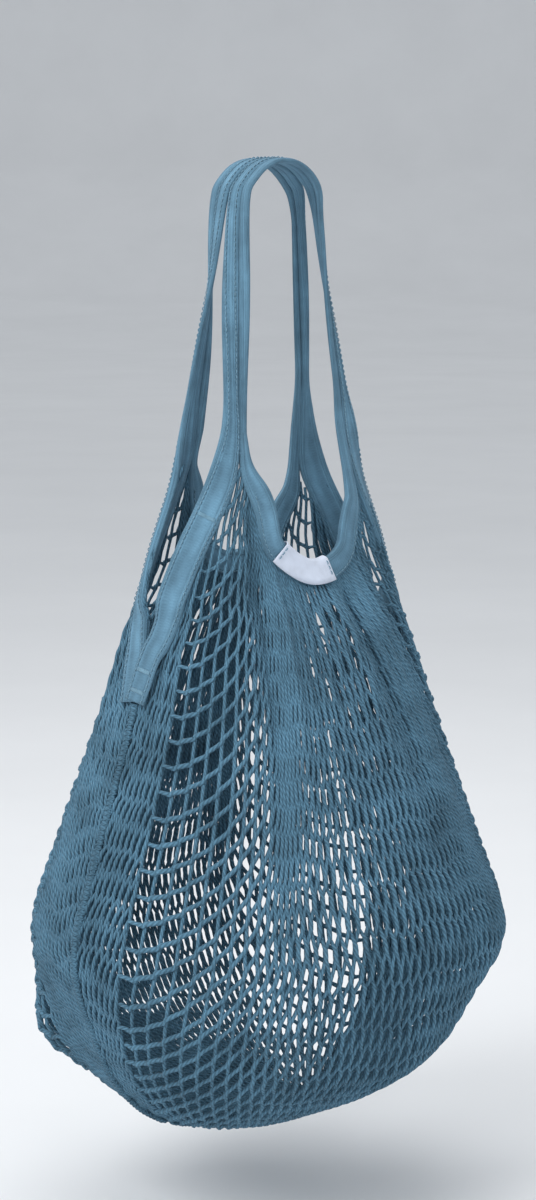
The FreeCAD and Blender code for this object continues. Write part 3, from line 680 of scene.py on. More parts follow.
class NetSurface:
    """A panel's surface by net coordinates: across, from -1 at the left seam to 1 at the right,
    and up, in metres of cloth from the seam under the bag.

    CORNER is how much less cloth there is under the bag at its lower corners, and GATHER is the
    share of the dip's width from which the cloth is drawn in toward the peaks."""

    ROWS_UNDER, ROWS_UP, COLUMNS = 40, 110, 141
    STEPS_ROUND = 181
    CORNER = 0.060
    GATHER = 0.6
    PLEAT_WIDTH = 0.052
    RIPPLE, RIPPLE_TURNS = 1.1 * MM, 101
    BETWEEN_LUMPS = -1.5 * MM

    def __init__(self, face):
        self.face = face
        across = np.linspace(-1, 1, self.COLUMNS)
        levels = np.linspace(form.belly, edges.left_peak, self.ROWS_UP)
        over = np.stack([self.level_row(z, across) for z in levels])
        self.grid = np.concatenate([self.under_rows(across, over[0])[:-1], over])
        self.rise = lengths_along(self.grid[:, self.COLUMNS // 2])
        self.normals = self.find_normals(self.grid)
        proud = self.folds(across) + self.swells(across)
        self.grid = self.grid + proud[..., None] * self.normals
        self.normals = self.find_normals(self.grid)
        self.height = self.rise[-1]
        self.turn_height = self.rise[self.ROWS_UNDER - 1]
        self.half_width = lengths_along(over[0])[-1] / 2

    def under_rows(self, across, belly_row):
        """Rows from the seam under the bag out to the belly."""
        low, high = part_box("bottom_seam")
        centre = np.array([np.interp(form.belly, form.heights, form.middle), 0, form.belly])
        seam = np.stack([low.x + (high.x - low.x) * (across + 1) / 2, np.zeros(len(across)),
                         np.full(len(across), form.bottom)], axis=-1)
        rows = []
        for tilt in np.linspace(0, math.pi / 2, self.ROWS_UNDER):
            ray = (seam - centre) * math.cos(tilt) + (belly_row - centre) * math.sin(tilt)
            near, far = np.full(len(across), 0.3), np.full(len(across), 1.5)
            for _ in range(24):
                share = (near + far) / 2
                inside = self.inside(centre + ray * share[:, None])
                near, far = np.where(inside, share, near), np.where(inside, far, share)
            rows.append(centre + ray * near[:, None])
        return np.stack(rows)

    @staticmethod
    def inside(p):
        """True where a point lies inside the form."""
        z = p[:, 2]
        middle, width, depth = (np.interp(z, form.heights, row) for row in (
            form.middle, form.half_width, form.half_depth))
        level = ((p[:, 0] - middle) / width) ** 2 + (p[:, 1] / depth) ** 2
        return (level < 1) & (z > form.bottom + MM)

    def level_row(self, z, across):
        """One level row, evenly spaced by arc length between the panel's two side edges."""
        cut = math.asin(min(0.95, edges.notch_at(z) / float(form.depth_at(z))))
        turns = np.linspace(math.pi - cut, cut, self.STEPS_ROUND) * self.face
        points = form.at(np.full(self.STEPS_ROUND, z), turns)
        run = lengths_along(points)
        across = self.gathered(z, across, points, run)
        even = np.interp((across + 1) / 2 * run[-1], run, turns)
        by_angle = np.interp((across + 1) / 2, np.linspace(0, 1, self.STEPS_ROUND), turns)
        blend = smoothstep(form.belly, form.belly + 0.08, z)
        return form.at(np.full(len(across), z), by_angle + (even - by_angle) * blend)

    def gathered(self, z, across, points, run):
        """The columns of a level row, drawn in toward the two peaks beside the mouth's dip."""
        if z <= edges.dip_low:
            return across
        share = 2 * run / run[-1] - 1
        sides = (np.interp(z, edges.heights, edges.dip_left),
                 np.interp(min(z, edges.right_peak), edges.heights, edges.dip_right))
        gather = self.GATHER * smoothstep(edges.dip_low - 0.004, edges.dip_low + 0.030, z)
        left, right = (gather * abs(np.interp(x, points[:, 0], share)) for x in sides)
        room = np.where(across < 0, 1 - left, 1 - right)
        return np.sign(across) * (1 - (1 - np.abs(across)) * room)

    def find_normals(self, grid):
        """Outward unit normals of a grid, straight down where rows meet in one line."""
        round_it = np.gradient(grid, axis=1)
        up_it = np.gradient(grid, axis=0)
        normals = np.cross(round_it, up_it) * -self.face
        flat = np.linalg.norm(normals, axis=-1) < 1e-10
        normals[flat] = [0, 0, -1]
        return unit(normals)

    def folds(self, across):
        """How far pleats that run down from the mouth stand proud of the form."""
        z = self.grid[..., 2]
        strength = smoothstep(form.belly + 0.03, form.notch + 0.02, z)
        strength *= smoothstep(1.0, 0.88, np.abs(across))[None]
        strength *= smoothstep(6 * MM, 32 * MM, self.to_mouth())
        lean = 0.10 * (z - form.notch) / (form.notch - form.belly)
        proud = np.zeros_like(z)
        for place, rise in FOLDS:
            place = place if self.face == FRONT else -0.9 * place
            away = (across[None] - place * (1 + lean)) / self.PLEAT_WIDTH
            proud += rise * MM * np.exp(-away ** 2)
        return (proud + self.RIPPLE * np.sin(across[None] * self.RIPPLE_TURNS)) * strength

    def to_mouth(self):
        """Distance from each grid point to the panel's mouth edge."""
        mouth, _ = mouth_run(self.face, 0.0, 60)
        return np.min([np.linalg.norm(self.grid - p, axis=-1) for p in mouth], axis=0)

    def swells(self, across):
        """How far the filled bag's soft lumps stand proud of the form."""
        proud = np.zeros(self.grid.shape[:2])
        for turn, height, radius, rise in SWELLS:
            centre = form.at(np.array(height), np.array(math.radians(turn)))
            away = np.linalg.norm(self.grid - centre, axis=-1)
            proud += rise * MM * np.exp(-(away / (radius * MM)) ** 2)
        off_seams = smoothstep(1.0, 0.93, np.abs(across))[None]
        below_belly = smoothstep(form.belly + 0.05, form.belly, self.grid[..., 2])
        return (proud + self.BETWEEN_LUMPS) * off_seams * below_belly

    def at(self, across, up):
        """Points and normals at net coordinates, and whether each is on the panel."""
        start = self.CORNER * np.abs(across) ** 3
        under = (up - start) / (self.turn_height - start) * (self.ROWS_UNDER - 1)
        over = np.interp(up, self.rise, np.arange(len(self.rise)))
        row = np.where(up < self.turn_height, under, over)
        on_panel = (np.abs(across) <= 1) & (row >= 0) & (up < self.height)
        row = np.clip(row, 0, None)
        column = np.clip((across + 1) / 2, 0, 1) * (self.COLUMNS - 1)
        c = np.minimum(np.floor(column).astype(int), self.COLUMNS - 2)
        r = np.minimum(np.floor(row).astype(int), len(self.rise) - 2)
        fc, fr = (column - c)[:, None], (row - r)[:, None]

        def mix(values):
            low = values[r, c] * (1 - fc) + values[r, c + 1] * fc
            high = values[r + 1, c] * (1 - fc) + values[r + 1, c + 1] * fc
            return low * (1 - fr) + high * fr

        return mix(self.grid), unit(mix(self.normals)), on_panel


class Netting:
    """Knotless netting laid on a panel.

    Every strand of a family has the same shape, and crossings lie at whole numbers of both:
    place(a, b) = rising(a) + falling(b). From a side seam a strand first runs up beside the seam,
    then hangs slack across the open meshes, and then sweeps up until it is taut.

    FIRST and LAST number a strand's crossings, counted from the middle of the panel's foot. The
    shares say how a strand's place and thickness change where it crosses another, hangs slack or
    is crowded under the mouth."""

    FIRST, LAST = -44, 66
    TAUT_FROM = -7
    BACK_TAUTER = math.radians(3)
    UNEVEN = 2.0 * MM
    ON_TOP, FLATTER_CROWDED = 0.4, 0.6
    SLACKER_ON_TOP = 0.12
    THICKER_SLACK, THICKER_JOINED, THINNER_CROWDED = 0.34, 0.12, 0.22

    def __init__(self, face, net):
        self.net = net
        self.taut = net.taut_angle + (self.BACK_TAUTER if face == BACK else 0.0)
        self.surface = NetSurface(face)
        self.angle = self.angles(np.arange(self.FIRST, self.LAST + 1))
        bar = net.slack_bar + (net.taut_bar - net.slack_bar) * smoothstep(0.2, 0.85, np.sin(self.angle))
        self.run = np.cumsum(bar * np.cos(self.angle))
        self.lift = np.cumsum(bar * np.sin(self.angle))
        self.run -= self.run[-self.FIRST]
        self.lift -= self.lift[-self.FIRST]

    def angles(self, count):
        """The rise of each bar of a strand, counted from the middle of the panel's foot."""
        net = self.net
        slack_from = self.TAUT_FROM - net.sweep
        share = np.clip((count - slack_from) / net.sweep, 0, 1)
        angle = net.slack_angle + (self.taut - net.slack_angle) * (1 - (1 - share) ** 1.5)
        angle += (net.lean_angle - self.taut) * smoothstep(14, 28, count)
        return np.where(count < slack_from, net.seam_angle, angle)

    def crossing(self, a, b):
        """Net coordinates, in metres, of crossings given by index from FIRST.

        No two neighbouring columns of meshes are pulled down quite equally."""
        uneven = np.sin((a - b) * 12.99) + 0.6 * np.sin(a * 4.1 + b * 2.3)
        slack_from = self.TAUT_FROM - self.net.sweep
        gather_a, gather_b = (np.maximum(smoothstep(self.TAUT_FROM - 3, self.TAUT_FROM + 3, k),
                                         smoothstep(slack_from - 1, slack_from - 5, k))
                              for k in (a + self.FIRST, b + self.FIRST))
        lift = self.lift[a] + self.lift[b] + self.UNEVEN * uneven * gather_a * gather_b
        return np.stack([self.run[a] - self.run[b], lift], axis=-1)

    def together(self, a, b):
        """Half the stretch in which both strands run side by side at a crossing."""
        rising = np.stack([np.cos(self.angle[a]), np.sin(self.angle[a])], axis=-1)
        falling = np.stack([-np.cos(self.angle[b]), np.sin(self.angle[b])], axis=-1)
        steep_a, steep_b = (np.sin(self.angle[k])[:, None] ** 2 for k in (a, b))
        length = self.net.join * (0.2 + 0.8 * steep_a * steep_b)
        return unit(rising * steep_a + falling * steep_b) * length

    def strand(self, family, index):
        """Net coordinates along one strand, how near each is to a crossing, 1 or -1 where the
        strand lies on top of or under the other one, and how slack it is.

        The slacker of two strands lies on top; where both are alike they alternate."""
        moving = np.arange(len(self.run))
        fixed = np.full(len(moving), index)
        a, b = (moving, fixed) if family == 0 else (fixed, moving)
        middle, half = self.crossing(a, b), self.together(a, b)
        low, high = middle - half, middle + half
        centre = (high[:-1] + low[1:]) / 2
        points = np.stack([low[:-1], middle[:-1], high[:-1], centre], axis=1).reshape(-1, 2)
        near = np.tile([0.8, 1.0, 0.8, 0.0], len(centre))
        slack = 1 - np.sin(self.angle[:-1])
        slacker = slack - (1 - math.sin(self.angle[index]))
        alternating = np.where((moving[:-1] + index + family) % 2, 1, -1)
        unlike = np.abs(slacker) > self.SLACKER_ON_TOP
        top = np.repeat(np.where(unlike, np.sign(slacker), alternating), 4)
        return points, near, top, np.repeat(slack, 4)

    def build(self, family):
        """Skins of all strands of one family."""
        skins = Skins()
        for index in range(len(self.run)):
            flat, near, top, slack = self.strand(family, index)
            points, normals, on_panel = self.surface.at(flat[:, 0] / self.surface.half_width,
                                                        flat[:, 1])
            on_panel &= edges.holds(points)
            crowded = smoothstep(form.belly + 0.06, edges.dip_low, points[:, 2])
            over = self.ON_TOP * top * near * (1 - self.FLATTER_CROWDED * crowded)
            points = points + normals * (over * self.net.strand)[:, None]
            thick = self.net.strand * (1 + self.THICKER_SLACK * slack)
            radius = thick / 2 * (1 + self.THICKER_JOINED * near - self.THINNER_CROWDED * crowded)
            for run in self.runs(on_panel):
                if len(run) >= 3:
                    skins.add(tube_rings(points[run], normals[run], radius[run]))
        return skins

    @staticmethod
    def runs(mask):
        """Runs of neighbouring indices where the mask holds."""
        places = np.flatnonzero(mask)
        if len(places) == 0:
            return []
        return np.split(places, np.flatnonzero(np.diff(places) > 1) + 1)


class BAG_OT_netting(bpy.types.Operator):
    """Lays the knotless netting of the front and back panels"""

    bl_idname = "bag.netting"
    bl_label = "Netting"

    def execute(self, context):
        net = context.scene.bag_net
        for face in (FRONT, BACK):
            name = FACE_NAMES[face]
            netting = Netting(face, net)
            for family, lay in ((0, "rising"), (1, "falling")):
                piece = netting.build(family).piece(f"{name}_net_{lay}_strands", net_cotton(), "bag")
                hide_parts(f"{name}_net")
        return {"FINISHED"}


# ---------------------------------------------------------------- straps: notch tapes and handles

STEM_PROUD = 2.4 * MM      # how far a stem stands off the side, over the seam
STEM_GAP = 0.4 * MM        # between a front stem and the back stem that it lies over
LEG_INSET = 6 * MM         # from a handle's outer edge to the middle of its strap
CROWN_DEPTH = 6.4 * MM     # from the bag's middle plane to a handle's crown
CROWN_TOP = 2.0 * MM       # the crowns' height over the place where the bag hangs
NORMAL_SHARE = 0.05        # weight of a normal beside its point when both are smoothed together
STEM_SHARE = 0.01          # weight of the stem mark there


def notch_run(side, face, tape):
    """Points and normals of a notch tape's middle, from the foot of its stem up to the peak."""
    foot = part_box(f"{FACE_NAMES[face]}_{SIDE_NAMES[side]}_notch_tape")[0].z
    heights = np.linspace(foot + MM, edges.right_peak + 6 * MM, 22)
    seam = math.pi * face if side == LEFT else 0.0
    way = side * face
    cut = np.arcsin(np.clip(edges.notch_at(heights) / form.depth_at(heights), 0, 0.9))
    in_stem = np.clip((form.notch - heights) / (form.notch - heights[0]), 0, 1)
    reach = tape.notch_width / 2 * (1 - 0.62 * in_stem)
    turn = form.along(heights, seam + way * cut, way * reach)
    return form.at(heights, turn), form.normal(heights, turn)


def leg_foot(side, face):
    """Where a handle leg crosses the flex line."""
    low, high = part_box(f"{FACE_NAMES[face]}_handle_tape")
    across = low.x + LEG_INSET if side == LEFT else high.x - LEG_INSET
    return np.array([across, face * FLEX_DEPTH, FLEX_HEIGHT])


def handle_run(face, tape, count=90):
    """Points and normals of a handle's middle, from the left flex line over the crown."""
    left, right = leg_foot(LEFT, face), leg_foot(RIGHT, face)
    radius = tape.crown_width / 2
    crown_depth = face * CROWN_DEPTH
    legs = -FLEX_HEIGHT - radius

    def place(across, drop):
        down = max(0.0, drop - radius) / legs
        depth = crown_depth + (left[1] - crown_depth) * down ** 1.3
        return [across, depth, CROWN_TOP - drop]

    def leg(foot):
        start = math.copysign(radius, foot[0])
        return [place(start + (foot[0] - start) * share, radius + legs * share)
                for share in (0.3, 0.65)]

    arc = [place(-radius * math.cos(math.radians(t)), radius * (1 - math.sin(math.radians(t))))
           for t in (15, 40, 65, 90, 115, 140, 165)]
    points = smooth_path([left] + leg(left)[::-1] + arc + leg(right) + [right], count)
    over = (np.sin(math.pi * np.linspace(0, 1, count)) ** 1.6)[:, None]
    ahead = unit(np.gradient(points, axis=0))
    flat_out = np.array([0.0, face, 0.0])
    return points, unit(flat_out * (1 - over) + np.cross(ahead, [0.0, 1.0, 0.0]) * over)


def soften(points, weight, passes=60):
    """A path with its corners eased where the weight is above 0."""
    weight = weight[1:-1, None] * 0.5
    for _ in range(passes):
        middle = (points[:-2] + points[2:]) / 2
        points = np.vstack([points[:1], points[1:-1] + (middle - points[1:-1]) * weight, points[-1:]])
    return points


def whole_strap(face, tape):
    """A strap from one stem's foot over the handle to the other.

    Gives its middle line, normals, thickness without folds, and 0 on the bag to 1 on the handle."""
    runs = []
    for side in (LEFT, RIGHT):
        points, normals = notch_run(side, face, tape)
        in_stem = 1 - smoothstep(0.16, 0.36, np.linspace(0, 1, len(points)))
        layer = STEM_PROUD + (tape.thick + STEM_GAP if face == FRONT else 0.0)
        runs.append((points + normals * (layer * in_stem + 0.15 * MM)[:, None], normals, in_stem))
    left, right = runs
    over, over_out = handle_run(face, tape)
    points = np.vstack([left[0], over, right[0][::-1]])
    normals = np.vstack([left[1], over_out, right[1][::-1]])
    in_stem = np.concatenate([left[2], np.zeros(len(over)), right[2][::-1]])[:, None]
    rows = smooth_path(np.hstack([points, normals * NORMAL_SHARE, in_stem * STEM_SHARE]), 340)
    on_handle = smoothstep(FLEX_HEIGHT - 0.030, FLEX_HEIGHT + 0.022, rows[:, 2])
    corner = smoothstep(0.075, 0.03, np.abs(rows[:, 2] - FLEX_HEIGHT + 0.012))
    points, normals = soften(rows[:, :3], corner), unit(soften(rows[:, 3:6], corner))
    in_stem = np.clip(rows[:, 6] / STEM_SHARE, 0, 1)
    bag_thick = tape.binding + (tape.thick - tape.binding) * in_stem
    thick = bag_thick + (2.1 * tape.thick - bag_thick) * on_handle
    return points, normals, thick, on_handle


def bunch(points):
    """How much of its width a handle keeps: its right leg is drawn together below the crown."""
    drawn = smoothstep(0.0, 0.02, points[:, 0])
    drawn *= smoothstep(FLEX_HEIGHT - 0.006, FLEX_HEIGHT + 0.028, points[:, 2])
    drawn *= smoothstep(-0.004, -0.03, points[:, 2])
    return 1 - 0.42 * drawn


def toward_mouth(points, sideways):
    """1 where the sideways direction points into the mouth or handle, -1 where it points away."""
    legs = np.sign(-points[:, 0]) * np.sign(sideways[:, 0])
    middle = len(points) // 4
    return legs[middle]


class BAG_OT_straps(bpy.types.Operator):
    """Makes the two long straps that bind the notches and run on as handles"""

    bl_idname = "bag.straps"
    bl_label = "Straps"

    def execute(self, context):
        tape = context.scene.bag_tape
        for face in (FRONT, BACK):
            name = FACE_NAMES[face]
            points, normals, thick, on_handle = whole_strap(face, tape)
            _, sideways, outward = path_frames(points, normals)
            width, shift = strap_width(points, sideways, on_handle, tape)
            skins = Skins()
            skins.add(ribbon_rings(points, sideways, outward, width, thick, shift, 0.0,
                                   0.34 + 0.38 * on_handle, 24))
            piece = skins.piece(f"{name}_strap", tape_cotton())
            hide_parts(f"{name}_left_notch_tape", f"{name}_right_notch_tape",
                        f"{name}_handle_tape")
            bend_at_flex(piece)
        return {"FINISHED"}


def strap_width(points, sideways, on_handle, tape):
    """A strap's width, and how far it moves over to leave room for the binding beside it."""
    keeps = bunch(points)
    width = tape.notch_width + (tape.handle_width * keeps - tape.notch_width) * on_handle
    return width, -toward_mouth(points, sideways) * 1.5 * MM * on_handle * keeps


def bend_at_flex(piece):
    """Bakes a piece's placement into its mesh; nothing bends it at the flex line."""
    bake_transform(piece)


# ---------------------------------------------------------------- the mouth

RIM_OVER = 0.8 * MM        # how far the binding stands over the net's edge
PEAK_TUCK = 2.8 * MM       # how much further down it lies toward the peaks
BESIDE_OVERLAP = 1.6 * MM  # how far it lies over the strap, up on the handle


def mouth_run(face, inset, count=110):
    """Points and normals along a panel's mouth, an inset below its edge, left to right."""
    path = edges.mouth_path(count)
    ahead = unit(np.gradient(path, axis=0))
    away = np.stack([ahead[:, 1], -ahead[:, 0]], axis=1)
    path = path + away * np.broadcast_to(inset, count)[:, None]
    turn = form.turn_at(path[:, 1], path[:, 0], face)
    return form.at(path[:, 1], turn), form.normal(path[:, 1], turn)


class BAG_OT_mouth(bpy.types.Operator):
    """Makes the tape folded over each mouth edge, which runs on beside the handle"""

    bl_idname = "bag.mouth"
    bl_label = "Mouth binding"

    def execute(self, context):
        tape = context.scene.bag_tape
        for face in (FRONT, BACK):
            name = FACE_NAMES[face]
            share = np.linspace(-1, 1, 110)
            narrow = np.where(share < 0, smoothstep(-0.78, -1.06, share), smoothstep(0.55, 1.0, share))
            width = tape.rim_width + (tape.lining_width - tape.rim_width) * narrow
            tuck = PEAK_TUCK * smoothstep(0.66, 0.92, np.abs(share))
            rim, rim_out = mouth_run(face, width / 2 - RIM_OVER + tuck)
            over, over_out = self.beside_handle(face, tape)
            points = np.vstack([over, rim[::-1]])
            normals = np.vstack([over_out, rim_out[::-1]])
            rows = smooth_path(np.hstack([points[::2], normals[::2] * NORMAL_SHARE]), 330,
                               closed=True)
            corner = smoothstep(0.05, 0.015, np.abs(rows[:, 2] - FLEX_HEIGHT + 0.012))
            points, normals = soften(rows[:, :3], corner, 30), unit(rows[:, 3:])
            _, sideways, outward = path_frames(points, normals, closed=True)
            on_rim = np.where(points[:, 0] < 0,
                              smoothstep(edges.left_peak + 0.006, edges.left_peak - 0.018, points[:, 2]),
                              smoothstep(edges.left_peak - 0.005, edges.dip_low + 0.018, points[:, 2]))
            on_handle = smoothstep(edges.right_peak - 0.012, FLEX_HEIGHT + 0.02, points[:, 2])
            lining = tape.lining_width * bunch(points)
            width = lining + (tape.rim_width - lining) * on_rim
            thick = tape.binding + (tape.thick * 2.0 - tape.binding) * on_handle
            skins = Skins()
            skins.add(ribbon_rings(points, sideways, outward, width, thick, 0.0, 0.0,
                                   0.32 + 0.38 * on_handle, 24), closed=True)
            piece = skins.piece(f"{name}_mouth_binding", tape_cotton())
            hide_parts(f"{name}_rim_tape", f"{name}_handle_lining")
            bend_at_flex(piece)
        return {"FINISHED"}

    @staticmethod
    def beside_handle(face, tape):
        """The handle's run, moved over so that the binding lies beside the strap."""
        points, normals = handle_run(face, tape)
        _, sideways, _ = path_frames(points, normals)
        aside = (tape.handle_width / 2 + tape.lining_width / 2 - BESIDE_OVERLAP) * bunch(points)
        return points + sideways * (toward_mouth(points, sideways) * aside)[:, None], normals


# ---------------------------------------------------------------- stitching, seams and label

# One stitch, from hole to hole: its height in threads over the cloth, and its share of full thickness.
STITCH_ARCH = np.array([-0.25, 0.55, 0.8, 0.55, -0.25])
STITCH_BODY = np.array([0.7, 1, 1.05, 1, 0.7])
RIM_STITCH_INSET = 2.6 * MM    # from the binding's lower edge up to its row of stitches
TACK_POINTS = 13               # zigzag points on each side of a bar tack's middle
TACK_REACH = 4.6 * MM          # from its middle to its ends
TACK_HALF = 0.9 * MM           # half its height


def stitch_row(skins, points, outward, trim, lift):
    """Adds a row of single stitches along a line."""
    run = lengths_along(points)
    pitch = trim.stitch + trim.stitch_gap
    for start in np.arange(0.4 * MM, run[-1] - trim.stitch, pitch):
        at = start + np.linspace(0, trim.stitch, len(STITCH_ARCH))
        out = unit(sampled(outward, run, at))
        stitch = sampled(points, run, at) + out * (lift + STITCH_ARCH * trim.thread)[:, None]
        skins.add(tube_rings(stitch, out, trim.thread / 2 * STITCH_BODY))


class BAG_OT_stitching(bpy.types.Operator):
    """Sews the tapes: a row of stitches along both edges of each strap and along the bindings"""

    bl_idname = "bag.stitching"
    bl_label = "Stitching"

    def execute(self, context):
        tape, trim = context.scene.bag_tape, context.scene.bag_trim
        notches = {LEFT: Skins(), RIGHT: Skins()}
        for face in (FRONT, BACK):
            name = FACE_NAMES[face]
            points, normals, thick, on_handle = whole_strap(face, tape)
            _, sideways, outward = path_frames(points, normals)
            width, shift = strap_width(points, sideways, on_handle, tape)
            handle = Skins()
            above = points[:, 2] > FLEX_HEIGHT - 12 * MM
            for edge in (-1, 1):
                inset = np.minimum(1.9 * MM, width * 0.22)
                line = points + sideways * (edge * (width / 2 - inset) + shift)[:, None]
                line = line + outward * (thick / 2)[:, None]
                stitch_row(handle, line[above], outward[above], trim, 0.0)
                for side in (LEFT, RIGHT):
                    mine = ~above & (np.sign(points[:, 0]) == side)
                    stitch_row(notches[side], line[mine], outward[mine], trim, 0.0)
            piece = handle.piece(f"{name}_handle_stitches", thread_cotton())
            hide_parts(f"{name}_handle_stitching")
            bend_at_flex(piece)
            self.sew_rim(face, name, tape, trim)
        for side in (LEFT, RIGHT):
            piece = notches[side].piece(f"{SIDE_NAMES[side]}_notch_stitches", thread_cotton(), "bag")
            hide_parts(f"{SIDE_NAMES[side]}_notch_stitching")
        return {"FINISHED"}

    @staticmethod
    def sew_rim(face, name, tape, trim):
        """One row along the lower edge of the binding, outside and inside the bag."""
        skins = Skins()
        line, outward = mouth_run(face, tape.rim_width - RIM_STITCH_INSET, 120)
        between_peaks = slice(14, -14)
        for way in (1, -1):
            stitch_row(skins, line[between_peaks], outward[between_peaks] * way, trim,
                       tape.binding / 2)
        piece = skins.piece(f"{name}_mouth_stitches", thread_cotton(), "bag")
        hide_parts(f"{name}_rim_stitching")


class BAG_OT_tacks(bpy.types.Operator):
    """Sews the bar tacks that lock the straps at the notches and peaks"""

    bl_idname = "bag.tacks"
    bl_label = "Bar tacks"

    def execute(self, context):
        tape, trim = context.scene.bag_tape, context.scene.bag_trim
        on_stem = STEM_PROUD + 0.3 * MM + tape.thick / 2 + tape.thick + STEM_GAP
        on_peak = 0.2 * MM + tape.binding / 2
        for side in (LEFT, RIGHT):
            self.sew(f"{SIDE_NAMES[side]}_notch_tack", trim, tape, [(side, FRONT)], (0.05, 0.15),
                     on_stem)
        for face in (FRONT, BACK):
            self.sew(f"{FACE_NAMES[face]}_peak_tacks", trim, tape, [(LEFT, face), (RIGHT, face)],
                     (0.90,), on_peak)
        return {"FINISHED"}

    @staticmethod
    def sew(node, trim, tape, places, shares, lift):
        """Bars at shares of the way up the notch tapes, lifted off their middle layer."""
        skins = Skins()
        for side, face in places:
            points, normals = notch_run(side, face, tape)
            ahead, sideways, outward = path_frames(points, normals)
            for share in shares:
                i = int(share * (len(points) - 1))
                zigzag = []
                for k in range(2 * TACK_POINTS + 1):
                    step = (k - TACK_POINTS) / TACK_POINTS
                    zigzag.append(points[i] + sideways[i] * step * TACK_REACH
                                  + ahead[i] * (TACK_HALF if k % 2 else -TACK_HALF)
                                  + outward[i] * lift)
                line = smooth_path(zigzag, 160)
                out = np.repeat(outward[i][None], len(line), axis=0)
                _, beside, off = path_frames(line, out)
                skins.add(ribbon_rings(line, beside, off, trim.thread * 1.3, trim.thread,
                                       corner=1.0, around=6))
        piece = skins.piece(node + "_bars", thread_cotton(), "bag")
        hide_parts(node)


def overlock(skins, points, outward, loops, reach, radius):
    """Adds an overlock thread, wound in loops round the ridge of a seam."""
    _, sideways, outward = path_frames(points, outward)
    run = np.linspace(0, 1, len(points))
    at = np.linspace(0, 1, loops * 10)
    centre = sampled(points, run, at)
    side, out = unit(sampled(sideways, run, at)), unit(sampled(outward, run, at))
    wind = 2 * math.pi * loops * at
    line = centre + side * (np.cos(wind) * reach)[:, None] + out * (np.sin(wind) * reach * 0.5)[:, None]
    normal = unit(side * np.cos(wind)[:, None] + out * np.sin(wind)[:, None])
    _, beside, off = path_frames(line, normal)
    skins.add(ribbon_rings(line, beside, off, 2 * radius, 2 * radius, corner=1.0, around=5))


class BAG_OT_seams(bpy.types.Operator):
    """Makes the overlocked side seams and the seam under the bag"""

    bl_idname = "bag.seams"
    bl_label = "Seams"

    def execute(self, context):
        trim = context.scene.bag_trim
        for side in (LEFT, RIGHT):
            node = f"{SIDE_NAMES[side]}_side_seam"
            low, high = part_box(node)
            heights = np.linspace(high.z, low.z + MM, 90)
            turn = np.full(len(heights), math.pi if side == LEFT else 0.0)
            self.make(node, form.at(heights, turn), form.normal(heights, turn), trim.seam_loops)
        low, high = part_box("bottom_seam")
        surface = NetSurface(FRONT)
        row, out = surface.grid[0], surface.normals[0]
        keep = (row[:, 0] > low.x) & (row[:, 0] < high.x)
        self.make("bottom_seam", row[keep], out[keep] * [1, 0, 1], trim.seam_loops * 2 // 3)
        return {"FINISHED"}

    @staticmethod
    def make(node, points, outward, loops):
        """A lumpy ridge of folded net edges, wound with overlock thread."""
        rows = 120
        width, thick, proud = 4.4 * MM, 2.2 * MM, 1.2 * MM
        outward = unit(smooth_path(outward, rows))
        points = smooth_path(points, rows) + outward * proud
        _, sideways, out = path_frames(points, outward)
        k = np.arange(rows)
        lumps = 1 + 0.10 * np.sin(k * 1.9) + 0.06 * np.sin(k * 0.7)
        skins = Skins()
        skins.add(ribbon_rings(points, sideways, out, width * lumps, thick * lumps,
                               corner=0.8, around=12))
        overlock(skins, points, out, loops, 2.5 * MM, 0.5 * MM)
        piece = skins.piece(node + "_overlock", seam_cotton(), "bag")
        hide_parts(node)


class BAG_OT_label(bpy.types.Operator):
    """Folds the blank label over the front mouth binding and sews it at both ends"""

    bl_idname = "bag.label"
    bl_label = "Label"

    ROWS = 46
    THICK = 0.45 * MM

    def execute(self, context):
        tape, trim = context.scene.bag_tape, context.scene.bag_trim
        line, outward = mouth_run(FRONT, tape.rim_width / 2 - RIM_OVER, 240)
        run = lengths_along(line)
        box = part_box("label")
        start = np.argmin(np.abs(line[:, 0] - box[0].x - 1.0 * MM))
        inside = (run >= run[start]) & (run <= run[start] + trim.label_length)
        points = smooth_path(line[inside], self.ROWS)
        _, sideways, outward = path_frames(points, unit(smooth_path(outward[inside], self.ROWS)))
        down = sideways * (1 if sideways[self.ROWS // 2][2] < 0 else -1)
        wide, off = tape.rim_width + 0.2 * MM, tape.binding / 2 + 1.0 * MM
        wave = 0.25 * MM * np.sin(np.linspace(0, 9, self.ROWS))
        skins = Skins()
        skins.add(np.array([self.outline(points[i], down[i], outward[i], wide, off, wave[i])
                            for i in range(self.ROWS)]))
        piece = skins.piece("label_ribbon", label_cloth(), "bag")
        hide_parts("label")
        rows = Skins()
        for i in (2, -3):
            across = np.linspace(-wide / 2 + 1.2 * MM, wide / 2 - 1 * MM, 12)[:, None]
            bar = points[i] + down[i] * across + outward[i] * (off + 0.35 * MM)
            stitch_row(rows, bar, np.repeat(outward[i][None], len(bar), axis=0), trim, 0.0)
        piece = rows.piece("label_stitches", thread_cotton(), "bag")
        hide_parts("label_stitching")
        return {"FINISHED"}

    def outline(self, middle, down, out, wide, off, wave):
        """The ribbon's closed outline at one place: up the front, over the edge and down inside."""
        top = -wide / 2 - 0.5 * MM
        crest, curl = top - 0.9 * MM, top + 1.2 * MM
        places = np.array([(wide / 2, off + wave), (wide / 4, off), (0, off), (-wide / 4, off),
                           (curl, off), (top, off * 0.75), (crest, off * 0.3),
                           (crest, -off * 0.3), (top, -off * 0.75), (curl, -off),
                           (0, -off), (wide / 2, -off - wave)])
        ahead = unit(np.gradient(places, axis=0))
        side = np.stack([-ahead[:, 1], ahead[:, 0]], axis=1) * self.THICK / 2
        loop = np.vstack([places - side, (places + side)[::-1]])
        return middle + loop[:, :1] * down + loop[:, 1:] * out


# ---------------------------------------------------------------- stage

